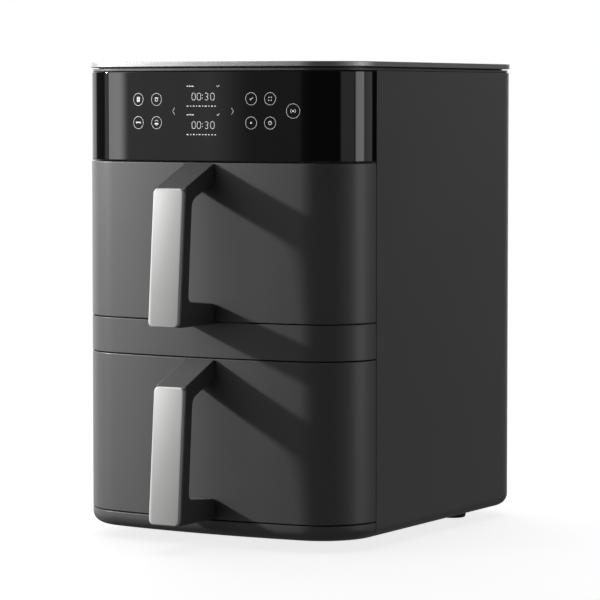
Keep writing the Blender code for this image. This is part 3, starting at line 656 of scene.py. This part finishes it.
# Each arrow's tip, and the way it opens
ARROWS = ((-0.0276, 1), (0.0330, -1))
ARROW_SIZE = (0.0017, 0.0028)
READOUT_X = (-0.0062, -0.0009, 0.0067, 0.0126)
READOUT_ROWS = (0.3867, 0.3624)
DIGIT_HALF = (0.0018, 0.0030)
COLON_X = 0.0026
COLON_UP = 0.0012
COLON_RADIUS = 0.00018
DASHES_X = -0.0133
# Rows of dashes round a readout: height from its middle, space between dashes, their lengths
DASHES_UNDER = (-0.0081, 0.0017,
                (0.0018, 0.0011, 0.0016, 0.0009, 0.0017, 0.0010, 0.0018, 0.0012, 0.0016, 0.0011))
DASHES_OVER = (0.0088, 0.0008, (0.0018, 0.0014, 0.0022))
READOUT_TICK = ((0.0168, 0.0092), (0.0178, 0.0082), (0.0194, 0.0098))


def stroke(made, points, width, closed=False):
    """A flat line of solid print over the glass, along (x, z) points."""
    spots = [Vector(point) for point in points]
    count = len(spots)
    rows = []
    for i, spot in enumerate(spots):
        back = spots[i - 1] if closed or i else spot
        ahead = spots[(i + 1) % count] if closed or i < count - 1 else spot
        first = (spot - back).normalized() if (spot - back).length else (ahead - spot).normalized()
        second = (ahead - spot).normalized() if (ahead - spot).length else first
        normal = Vector((-(first + second).y, (first + second).x)).normalized()
        side = Vector((-first.y, first.x))
        reach = width / 2 / max(MITRE_LIMIT, normal.dot(side))
        row = []
        for way, up in ((-1, PRINT_LIFT), (1, PRINT_LIFT), (1, PRINT_TOP), (-1, PRINT_TOP)):
            place = spot + normal * (way * reach)
            row.append(made.verts.new(front_point(place.x, place.y, up)))
        rows.append(row)
    skin(made, rows, loop=closed)
    if not closed:
        made.faces.new(rows[0])
        made.faces.new(rows[-1])


def circle(x, z, radius, start=0, end=360, steps=40):
    points = arc(x, z, radius, math.radians(start), math.radians(end), steps)
    return points[:-1] if end - start == 360 else points


def level(half, z):
    return ((-half, z), (half, z))


# Drawings in the keys, as strokes round the key's centre: points, width in lines, closed or not
JAR = ((rounded_rectangle(.0013, .0019, .0004, 3), 1.3, True), (level(.0012, .0008), 2.4, False),
       (level(.0012, -.0008), 2.4, False))
POT = ((circle(0, -.0003, .0014, steps=20), 1.2, True), (level(.0016, .0013), 1.6, False))
TRAY = ((level(.0026, .0003), 2.0, False), (((-.0026, -.0006), (-.0014, -.0006)), 1, False),
        (((.0014, -.0006), (.0026, -.0006)), 1, False))
BOWL = ((circle(0, .0004, .0017, 20, 160, 12), 1, False),
        (circle(0, -.0002, .0018, 190, 350, 12), 1.2, False), (level(.0016, -.0007), 2.4, False))
TICK = ((((-.0013, .0001), (-.0004, -.0010), (.0016, .0012)), 1.3, False),)
CORNERS = tuple((((x * .0014, z * .0005), (x * .0014, z * .0014), (x * .0005, z * .0014)), 1, False)
                for x, z in ((-1, -1), (-1, 1), (1, 1), (1, -1)))
DOT = ((circle(0, 0, .0004, steps=14), .0008 / LINE, True),)
CLOCK = ((circle(0, 0, .0015, steps=20), 1.2, True), (((0, 0), (.0008, .0006)), 1, False))
START = DOT + ((circle(0, 0, .0022, 130, 230, 12), 1.1, False),
               (circle(0, 0, .0022, -50, 50, 12), 1.1, False))
LEFT_DRAWINGS = ((JAR, POT), (TRAY, BOWL))
RIGHT_DRAWINGS = ((TICK, CORNERS), (DOT, CLOCK))


def draw_key(made, drawing, x, z, radius):
    """A ring with its drawing inside."""
    stroke(made, circle(x, z, radius), KEY_LINE, True)
    for points, width, closed in drawing:
        stroke(made, [(x + across, z + up) for across, up in points], LINE * width, closed)


def draw_digit(made, figure, x, z):
    half, tall = DIGIT_HALF
    if figure == "0":
        corners = [(x - half, z - tall), (x + half, z - tall), (x + half, z + tall), (x - half, z + tall)]
        stroke(made, rounded_outline(corners, [half * 0.95] * 4, 6), LINE * 1.05, True)
    else:
        top = circle(x - .0001, z + tall / 2, tall / 2, 150, -90, 16)
        low = circle(x - .0001, z - tall / 2, tall / 2, 90, -150, 16)
        stroke(made, top + low[1:], LINE * 1.05)


def draw_dashes(made, middle, row):
    x = DASHES_X
    up, space, lengths = row
    z = middle + up
    for length in lengths:
        stroke(made, [(x, z), (x + length, z)], LINE * 2.2)
        x += length + space


def make_print():
    """Ring keys, arrows, readouts and dashes; words are dashes."""
    keys = bmesh.new()
    for columns, rows, drawings, radius in ((LEFT_KEYS, LEFT_ROWS, LEFT_DRAWINGS, LEFT_RADIUS),
                                            (RIGHT_KEYS, RIGHT_ROWS, RIGHT_DRAWINGS, RIGHT_RADIUS)):
        for column, x in enumerate(columns):
            for row, z in enumerate(rows):
                draw_key(keys, drawings[row][column], x, z, radius)
    draw_key(keys, START, *START_KEY, START_RADIUS)
    wide, tall = ARROW_SIZE
    for x, way in ARROWS:
        open_x = x + way * wide
        stroke(keys, [(open_x, ARROW_Z + tall), (x, ARROW_Z), (open_x, ARROW_Z - tall)], LINE * 0.8)
    build("panel_keys", keys, None, "housing", look=PRINT)
    figures = bmesh.new()
    for z in READOUT_ROWS:
        for x, figure in zip(READOUT_X, "0030"):
            draw_digit(figures, figure, x, z)
        for up in (-COLON_UP, COLON_UP):
            stroke(figures, circle(COLON_X, z + up, COLON_RADIUS, steps=10), LINE, True)
        draw_dashes(figures, z, DASHES_UNDER)
        draw_dashes(figures, z, DASHES_OVER)
        stroke(figures, [(x, z + up) for x, up in READOUT_TICK], LINE)
    build("panel_readouts", figures, None, "housing", look=PRINT)


# Drawers --------

FRONT_CUT = -0.010
FRONT_CUT_LONG = 0.02
BORE_START = -0.0160
BORE_LONG = 0.030
# Corner radii of the handle's side outline, in the order of its corners
HANDLE_ROUND = (0, 0.0020, 0.0030, 0, 0, 0.0050, 0.0100, 0)
PLATE_GAP = 0.0006
PLATE_CORNER = 0.0044
# (height over the plate's back, inset of its outline)
PLATE_LAYERS = ((0, 0.0002), (0.0003, 0), (0.0019, 0), (0.0023, 0.00010), (0.0026, 0.00030),
                (0.0028, 0.00060), (PLATE_THICK, 0.0012))
# (radius, depth): shaft, round head and its socket
SCREW_PROFILE = ((0, -0.0140), (0.0012, -0.0140), (0.0017, -0.0132), (0.0017, SKIN + GAP),
                 (0.0037, SKIN + GAP), (0.0040, SKIN + 0.0006), (0.0038, SKIN + 0.0014),
                 (0.0030, SKIN + 0.0021), (0.0018, SKIN + 0.0025), (0.0014, SKIN + 0.0025),
                 (0.0014, SKIN + 0.0012), (0, SKIN + 0.0012))
PAN_FOOT = 0.0060
PAN_FOOT_STEPS = 6
LIP_EASE = 0.0004
LIP_FOLD = 0.0005
LIP_ROUND = 0.0006
NOTCH_HALF = 0.080
NOTCH_RISE = 0.040
NOTCH_OVER = 0.010
NOTCH_ROUND = 0.008
NOTCH_CUT = (0.2500, 0.2700)
CRISPER_RISE = 0.0140
CRISPER_HALF = 0.1050
CRISPER_INSET = 0.0090
CRISPER_CORNER = 0.018
CRISPER_THICK = 0.0015
CRISPER_COLUMNS = 9
CRISPER_ROWS = 15
CRISPER_PITCH = (0.0212, 0.0128)
CRISPER_SLOT = (0.0082, 0.0026, 0.0024)
CRISPER_HOLE = (0.0024, 0.0024, 0.0023)
BUMPER_EASE = 0.0006
BUMPER_BAND = 0.0030
BUMPER_STEP = 0.0036
BUMPER_GROOVE = 0.0009


def make_front(zone, drop):
    body = zone + "_drawer"
    low = BASE_TOP + SEAM if zone == "lower" else STRIP_TOP + SEAM
    high = UPPER_TOP - SEAM - drop
    profile = [(0, low), (0, high), (-FRONT_LIP, high), (-FRONT_LIP, high - FRONT_SKIN),
               (-SKIN, high - FRONT_SKIN), (-SKIN, low + FRONT_SKIN), (-FRONT_LIP, low + FRONT_SKIN),
               (-FRONT_LIP, low)]
    holes = [rod(SCREW_HOLE, FRONT_CUT_LONG, (0, Y(FRONT_CUT), UPPER_TOP - drop - depth), 24)
             for _, depth in SCREW_DEPTHS]
    front = carve(sweep(front_path, profile), holes)
    build(zone + "_front", front, "body_plastic", body, [zone + "_drawer_front"], bevel=0.0006, segments=3)


def front_out(down):
    """How far the handle body stands out at a depth below the drawer's top edge."""
    return PLATE_OUT_TOP + (down - HANDLE_DEPTHS["front_top"]) * PLATE_SLOPE - PLATE_THICK - GAP


def make_handle(zone, drop):
    body = zone + "_drawer"
    top = UPPER_TOP - drop
    depths = HANDLE_DEPTHS
    corners = [(GAP, depths["top"]), (front_out(depths["front_top"]), depths["front_top"]),
               (front_out(depths["bottom"]), depths["bottom"]), (GAP, depths["bottom"]),
               (GAP, depths["low_top"]), (INNER_OUT_LOW, depths["inner_low"]),
               (INNER_OUT_TOP, depths["inner_top"]), (GAP, depths["under"])]
    outline = rounded_outline([(Y(-out), top - down) for out, down in corners], HANDLE_ROUND)
    bar = loft([[(side * HANDLE_HALF, y, z) for y, z in outline] for side in (-1, 1)])
    bores = [rod(SCREW_BORE, BORE_LONG, (0, Y(BORE_START), top - depth), 24) for _, depth in SCREW_DEPTHS]
    build(zone + "_grip", carve(bar, bores), "handle_plastic", body, [zone + "_handle"], bevel=0.0011,
          segments=4)

    high = depths["front_top"] + PLATE_GAP
    half_long = (PLATE_BOTTOM - high) / 2
    middle = (PLATE_BOTTOM + high) / 2
    loops = []
    for rise, inset in PLATE_LAYERS:
        shape = rounded_rectangle(HANDLE_HALF - inset, half_long - inset, PLATE_CORNER - inset)
        loops.append([(x, Y(-(front_out(middle - v) + GAP + rise)), top - middle + v) for x, v in shape])
    build(zone + "_grip_cover", loft(loops), "handle_cover", body, [zone + "_handle_cover"])

    for label, depth in SCREW_DEPTHS:
        name = "%s_handle_%s_screw" % (zone, label)
        screw = turned(SCREW_PROFILE, (0, Y(0), top - depth), steps=32)
        build(name + "_detail", screw, "screw_steel", body, [name])


def pan_outline(inset, z):
    half = PAN_HALF - inset
    corners = [(-half, Y(PAN_FRONT + inset)), (half, Y(PAN_FRONT + inset)),
               (half, Y(PAN_BACK - inset)), (-half, Y(PAN_BACK - inset))]
    return at_height(rounded_outline(corners, [PAN_CORNER - inset] * 4, 14), z)


def make_pan(zone, drop):
    """The pan with its rolled lip, and the notch in its rear wall that lets the air in."""
    low = PAN_BOTTOM - drop
    high = PAN_TOP - drop
    lip_z = high - PAN_LIP / 2
    outer = []
    inner = []
    reach = PAN_FOOT - PAN_WALL
    for i in range(PAN_FOOT_STEPS + 1):
        angle = math.pi / 2 * i / PAN_FOOT_STEPS
        outer.append((PAN_FOOT * (1 - math.sin(angle)), low + PAN_FOOT * (1 - math.cos(angle))))
        inner.append((PAN_FOOT - reach * math.cos(angle), low + PAN_FOOT - reach * math.sin(angle)))
    lip = [(0, lip_z), (-PAN_LIP + LIP_EASE, lip_z), (-PAN_LIP, lip_z + LIP_FOLD),
           (-PAN_LIP, high - LIP_ROUND), (-PAN_LIP + LIP_ROUND, high), (PAN_WALL - LIP_EASE, high),
           (PAN_WALL, high - LIP_ROUND)]
    notch = rounded_outline([(-NOTCH_HALF, low + NOTCH_RISE), (NOTCH_HALF, low + NOTCH_RISE),
                             (NOTCH_HALF, high + NOTCH_OVER), (-NOTCH_HALF, high + NOTCH_OVER)],
                            [NOTCH_ROUND, NOTCH_ROUND, 0, 0])
    cutter = loft([[(x, Y(depth), z) for x, z in notch] for depth in NOTCH_CUT])
    pan = carve(loft([pan_outline(inset, z) for inset, z in outer + lip + inner]), [cutter])
    build(zone + "_pan", pan, "pan_coating", zone + "_drawer", [zone + "_drawer_pan"], bevel=0.0003)


def make_crisper(zone, drop):
    """The plate in the pan, with slots and round holes in turn."""
    low = PAN_BOTTOM - drop + PAN_WALL + CRISPER_RISE
    front = PAN_FRONT + CRISPER_INSET
    back = PAN_BACK - CRISPER_INSET
    centre = (front + back) / 2
    outline = rounded_rectangle(CRISPER_HALF, (back - front) / 2, CRISPER_CORNER, 10)
    slab = loft([[(x, Y(centre + v), z) for x, v in outline] for z in (low, low + CRISPER_THICK)])
    pitch_x, pitch_y = CRISPER_PITCH
    cutters = []
    for column in range(CRISPER_COLUMNS):
        for row in range(CRISPER_ROWS):
            x = (column - CRISPER_COLUMNS // 2) * pitch_x
            v = (row - CRISPER_ROWS // 2) * pitch_y
            shape = rounded_rectangle(*(CRISPER_SLOT if (column + row) % 2 else CRISPER_HOLE), 4)
            cutters.append(loft([[(x + dx, Y(centre + v + dv), z) for dx, dv in shape]
                                 for z in (low + reach for reach in THIN_CUT)]))
    build(zone + "_crisper", carve(slab, cutters), "pan_coating", zone + "_drawer",
          [zone + "_crisper_plate"], bevel=0.0004)


def make_bumpers(zone):
    """The four grooved bumpers that the plate stands on."""
    for number in range(1, 5):
        name = "%s_plate_bumper_%d" % (zone, number)
        start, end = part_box(name)
        tall = end.z - start.z
        radius = (end.x - start.x) / 2
        groove = radius - BUMPER_GROOVE
        profile = [(0, 0), (radius - BUMPER_EASE, 0), (radius, BUMPER_EASE), (radius, BUMPER_BAND),
                   (groove, BUMPER_STEP), (groove, tall - BUMPER_STEP), (radius, tall - BUMPER_BAND),
                   (radius, tall - BUMPER_EASE), (radius - BUMPER_EASE, tall), (0, tall)]
        centre = ((start.x + end.x) / 2, (start.y + end.y) / 2, start.z)
        build(name + "_detail", turned(profile, centre, "Z", 32), "silicone", zone + "_drawer", [name])


# Cavity --------

GUARD_BORE = 0.0050
GUARD_RADIUS = 0.0570
GUARD_RIBS = 6
GUARD_RIB_HALF = 0.0022
# Inner and outer radius of each ring of slots
GUARD_SLOTS = ((0.0105, 0.0150), (0.0190, 0.0235), (0.0275, 0.0320), (0.0360, 0.0405), (0.0445, 0.0490))
ELEMENT_DEPTH = 0.2735
ELEMENT_THICK = 0.0030
ELEMENT_BEND = (0.0035, 0.001225)
ELEMENT_END = 0.2950
# (radius, depth): the motor's can with two grooves, a boss at each end and the shaft's bore
MOTOR_PROFILE = ((0.0036, 0.2893), (0.0092, 0.2893), (0.0100, 0.2900), (0.0100, 0.2930), (0.0230, 0.2930),
                 (0.0240, 0.2940), (0.0240, 0.3010), (0.0232, 0.3014), (0.0232, 0.3022), (0.0240, 0.3026),
                 (0.0240, 0.3134), (0.0232, 0.3138), (0.0232, 0.3146), (0.0240, 0.3150), (0.0240, 0.3220),
                 (0.0230, 0.3230), (0.0080, 0.3230), (0.0080, 0.3254), (0.0074, 0.3260), (0, 0.3260),
                 (0, 0.3210), (0.0036, 0.3210))
BLADES = 8
BLADE_STEPS = 8
BLADE_REACH = (0.0085, 0.0330)
BLADE_SWEEP = 0.30
BLADE_HALF = 0.0006
BLADE_DEPTHS = (0.2672, 0.2790)
# (radius, depth): hub, back disc and shaft
FAN_PROFILE = ((0, 0.2668), (0.0052, 0.2668), (0.0060, 0.2676), (0.0088, 0.2690), (0.0095, 0.2700),
               (0.0095, 0.2785), (0.0345, 0.2785), (0.0350, 0.2788), (0.0350, 0.2796), (0.0345, 0.2798),
               (0.0075, 0.2798), (0.0075, 0.2846), (0.0071, 0.2850), (0.0030, 0.2850), (0.0030, 0.3196),
               (0.0026, 0.3200), (0, 0.3200))


def make_guard(zone, drop):
    """Pressed disc with ring slots between its ribs."""
    axis_z = FAN_HEIGHT - drop
    near = Y(LINER_BACK + GAP)
    far = Y(LINER_BACK + GAP + SHEET)
    disc = turned([(GUARD_BORE, near), (GUARD_RADIUS, near), (GUARD_RADIUS, far), (GUARD_BORE, far)],
                  (0, 0, axis_z), steps=96, ring=True)
    share = 360 // GUARD_RIBS
    cutters = []
    for inner, outer in GUARD_SLOTS:
        for rib in range(GUARD_RIBS):
            spare = GUARD_RIB_HALF / inner
            start = math.radians(share * rib) + spare
            end = math.radians(share * rib + share) - spare
            outline = arc(0, axis_z, outer, start, end, 14) + arc(0, axis_z, inner, end, start, 14)
            cutters.append(loft([[(x, Y(depth), z) for x, z in outline]
                                 for depth in (LINER_BACK + reach for reach in THIN_CUT)]))
    build(zone + "_guard", carve(disc, cutters), "sheet_steel", "housing", [zone + "_fan_guard"],
          bevel=0.0002)


def make_element(zone, drop):
    """A round bar in a ring, whose two ends turn back through the rear wall."""
    axis_z = FAN_HEIGHT - drop
    gap_angle = math.asin(ELEMENT_LEG_X / ELEMENT_RADIUS)
    start = math.pi / 2 + gap_angle
    turn = 2 * math.pi - 2 * gap_angle
    top = axis_z + ELEMENT_LEG_Z
    ring = [(x, Y(ELEMENT_DEPTH), z) for x, z in arc(0, axis_z, ELEMENT_RADIUS, start, start + turn, 96)]
    depths = [ELEMENT_END] + [ELEMENT_DEPTH + bend for bend in ELEMENT_BEND]
    left = [(-ELEMENT_LEG_X, Y(depth), top) for depth in depths]
    right = [(-x, y, z) for x, y, z in reversed(left)]
    element = tube(left + ring[1:-1] + right, ELEMENT_THICK, 18)
    build(zone + "_element", element, "heater_steel", "housing", [zone + "_heating_element"])


def make_motor(zone, drop):
    axis_z = FAN_HEIGHT - drop
    motor = turned([(r, Y(d)) for r, d in MOTOR_PROFILE], (0, 0, axis_z), steps=64, ring=True)
    build(zone + "_motor", motor, "motor_steel", "housing", [zone + "_fan_motor"])


def make_fan(zone, drop):
    """Blades swept back a little on a disc with a hub and shaft."""
    axis_z = FAN_HEIGHT - drop
    root, tip = BLADE_REACH
    parts = []
    for blade in range(BLADES):
        base = 2 * math.pi * blade / BLADES
        near = []
        far = []
        for step in range(BLADE_STEPS + 1):
            share = step / BLADE_STEPS
            angle = base - BLADE_SWEEP * share ** 1.5
            along = Vector((math.cos(angle), math.sin(angle)))
            across = Vector((-along.y, along.x)) * BLADE_HALF
            near.append(along * (root + (tip - root) * share) + across)
            far.append(along * (root + (tip - root) * share) - across)
        outline = near + list(reversed(far))
        parts.append(loft([[(p.x, Y(depth), axis_z + p.y) for p in outline] for depth in BLADE_DEPTHS]))
    parts.append(turned([(r, Y(d)) for r, d in FAN_PROFILE], (0, 0, axis_z), steps=64))
    build(zone + "_impeller", joined(parts), "sheet_steel", zone + "_fan_rotor", [zone + "_fan"],
          bevel=0.0002)


def make_kept():
    keep(["base_pan", "panel_carrier"], "inner_plastic", 0.0004)
    keep(["front_frame", "electronics_shelf"], "sheet_steel", 0.0003)
    keep(["control_board", "power_board"], "circuit_board", 0.0002)
    keep(["upper_display", "lower_display"], "display_module", 0.0004)
    for zone, _ in ZONES:
        for name in ("_cavity_liner", "_heater_housing", "_heat_shield"):
            keep([zone + name], "sheet_steel", 0.0003)
        keep([zone + "_interlock_switch"], "switch_plastic", 0.0006)


make_shell()
make_base()
make_top()
make_panel()
make_strip()
make_gland()
make_print()
for ZONE, DROP in ZONES:
    make_vent(ZONE, DROP)
    make_front(ZONE, DROP)
    make_handle(ZONE, DROP)
    make_pan(ZONE, DROP)
    make_crisper(ZONE, DROP)
    make_bumpers(ZONE)
    make_guard(ZONE, DROP)
    make_element(ZONE, DROP)
    make_motor(ZONE, DROP)
    make_fan(ZONE, DROP)
make_kept()


# Studio --------

CAMERA_PLACE = (1.4016, -2.3819, 0.3832)
CAMERA_TURN = (math.pi / 2 - 0.0645, 0.0, 0.5273)
CAMERA_LENS = 185.15

# Soft boxes round the horizon: azimuth (0 in front, + to the right), half width, edge, top and
# top edge in degrees, then strength
SOFT_BOXES = (
    (-118, 18, 9, 40, 16, 1.4),
    (-155, 26, 12, 40, 16, 1.4),
    (-63.5, 5, 5, 25, 12, 0.80),
    (-52.1, 5.4, 2.2, 25, 12, 4.4),
    (-38, 11, 9, 25, 12, 0.74),
    (-20, 10, 12, 25, 12, 0.22),
    (28, 38, 20, 14, 6, 0.04),
    (78, 14, 6, 14, 6, 0.62),
    (103.5, 9.5, 3, 14, 6, 3.7),
    (124, 11, 4, 14, 6, 0.80),
)
ROOM_LIGHT = 0.01
SKY_LIGHT = 0.60
SKY_EDGE = (38.0, 85.0)
FLOOR_LIGHT = 0.16
KEY_PLACE = (-2.150, -1.027, 1.101)
KEY_POWER = 120.0
KEY_SIZE = 0.15
# Each fill: place, size, power
LEFT_FILL = ((-1.3, -0.05, 0.9), 0.6, 47.0)
RIGHT_FILL = ((0.75, 0.70, 0.95), 0.4, 8.0)
FRONT_FILL = ((-0.4, -1.5, 0.9), 0.8, 4.3)
REAR_FILL = ((0.4, 1.6, 1.2), 0.8, 14.0)
AIM = (0.0, 0.0, 0.25)
HORIZON = (-12.0, 0.0)
TO_DEGREES = 180 / math.pi
FLOOR_RADIUS = 14.0
FLOOR_GLOW = 0.80


def make_camera():
    lens = bpy.data.cameras.new("camera")
    lens.sensor_width = 36.0
    lens.lens = CAMERA_LENS
    camera = bpy.data.objects.new("camera", lens)
    camera.location = CAMERA_PLACE
    camera.rotation_euler = CAMERA_TURN
    bpy.context.scene.collection.objects.link(camera)
    bpy.context.scene.camera = camera


def maths(tree, operation, first, second=0.0):
    """The output of one maths node; its inputs are numbers or other outputs."""
    made = tree.nodes.new("ShaderNodeMath")
    made.operation = operation
    for socket, value in zip(made.inputs, (first, second)):
        if isinstance(value, bpy.types.NodeSocket):
            tree.links.new(value, socket)
        else:
            socket.default_value = value
    return made.outputs[0]


def fade(tree, value, start, end):
    """1 where value is below start, falling smoothly to 0 at end."""
    made = node(tree, "ShaderNodeMapRange", Value=value, From_Min=start, From_Max=end, To_Min=1.0,
                To_Max=0.0)
    made.interpolation_type = "SMOOTHSTEP"
    return made.outputs["Result"]


def make_world():
    """A plain room: white to the camera, lit by soft boxes standing round the object."""
    world = bpy.data.worlds.new("studio")
    bpy.context.scene.world = world
    world.use_nodes = True
    tree = world.node_tree
    tree.nodes.clear()
    way = node(tree, "ShaderNodeTexCoord").outputs["Generated"]
    parts = node(tree, "ShaderNodeSeparateXYZ", Vector=way)
    ahead = maths(tree, "MULTIPLY", parts.outputs["Y"], -1.0)
    azimuth = maths(tree, "MULTIPLY", maths(tree, "ARCTAN2", parts.outputs["X"], ahead), TO_DEGREES)
    height = maths(tree, "MULTIPLY", maths(tree, "ARCSINE", parts.outputs["Z"]), TO_DEGREES)
    total = ROOM_LIGHT
    for centre, half, edge, top, top_edge, strength in SOFT_BOXES:
        off = maths(tree, "ABSOLUTE", maths(tree, "SUBTRACT", azimuth, float(centre)))
        across = fade(tree, off, half - edge / 2, half + edge / 2)
        up = fade(tree, height, top - top_edge, top + top_edge)
        lit = maths(tree, "MULTIPLY", maths(tree, "MULTIPLY", across, up), strength)
        total = maths(tree, "ADD", lit, total)
    sky = maths(tree, "MULTIPLY", maths(tree, "SUBTRACT", 1.0, fade(tree, height, *SKY_EDGE)), SKY_LIGHT)
    total = maths(tree, "ADD", total, sky)
    below = fade(tree, height, *HORIZON)
    above = maths(tree, "SUBTRACT", 1.0, below)
    ground = maths(tree, "MULTIPLY", below, FLOOR_LIGHT)
    total = maths(tree, "ADD", maths(tree, "MULTIPLY", total, above), ground)
    room = node(tree, "ShaderNodeBackground", Strength=total)
    plain = node(tree, "ShaderNodeBackground", Color=(1, 1, 1, 1), Strength=1.0)
    ray = node(tree, "ShaderNodeLightPath").outputs["Is Camera Ray"]
    mix = node(tree, "ShaderNodeMixShader", Fac=ray)
    tree.links.new(room.outputs[0], mix.inputs[1])
    tree.links.new(plain.outputs[0], mix.inputs[2])
    out = tree.nodes.new("ShaderNodeOutputWorld")
    tree.links.new(mix.outputs[0], out.inputs["Surface"])


def make_lamp(name, place, size, power, shape="DISK"):
    lamp = bpy.data.lights.new(name, "AREA")
    lamp.shape = shape
    lamp.size = size
    lamp.energy = power
    made = bpy.data.objects.new(name, lamp)
    made.location = place
    made.rotation_euler = (Vector(place) - Vector(AIM)).to_track_quat("Z", "Y").to_euler()
    made.visible_camera = False
    bpy.context.scene.collection.objects.link(made)
    return made


def make_lights(floor):
    """A small key at the left and four soft fills without mirror images; none of them lights the floor."""
    key = make_lamp("key", KEY_PLACE, KEY_SIZE, KEY_POWER)
    fills = []
    for name, fill in (("left", LEFT_FILL), ("right", RIGHT_FILL), ("front", FRONT_FILL),
                       ("rear", REAR_FILL)):
        fills.append(make_lamp(name + "_fill", *fill, "SQUARE"))
        fills[-1].visible_glossy = False
    skip = bpy.data.collections.new("floor_only")
    skip.objects.link(floor)
    for lamp in [key] + fills:
        lamp.light_linking.receiver_collection = skip
    skip.collection_objects[0].light_linking.link_state = "EXCLUDE"


def make_floor():
    made = bmesh.new()
    outline = [made.verts.new((x, y, 0)) for x, y in arc(0, 0, FLOOR_RADIUS, 0, 2 * math.pi, 96)[:-1]]
    made.faces.new(outline)
    mesh = bpy.data.meshes.new("floor")
    made.to_mesh(mesh)
    made.free()
    floor = bpy.data.objects.new("floor", mesh)
    bpy.context.scene.collection.objects.link(floor)
    pale, tree, shader = new_material("floor_paper")
    place = node(tree, "ShaderNodeTexCoord").outputs["Object"]
    cloud = node(tree, "ShaderNodeTexNoise", Vector=place, Scale=6.0, Detail=3.0)
    tree.links.new(blend_colours(tree, cloud.outputs["Fac"], (0.78, 0.78, 0.78), (0.82, 0.82, 0.82)),
                   shader.inputs["Base Color"])
    shader.inputs["Roughness"].default_value = 0.9
    shader.inputs["Specular IOR Level"].default_value = 0.1
    shader.inputs["Emission Color"].default_value = (1, 1, 1, 1)
    shader.inputs["Emission Strength"].default_value = FLOOR_GLOW
    mesh.materials.append(pale)
    floor.visible_diffuse = False
    floor.visible_glossy = False
    return floor


make_camera()
make_world()
make_lights(make_floor())
bpy.context.scene.view_settings.view_transform = "Standard"
bpy.context.scene.view_settings.look = "None"
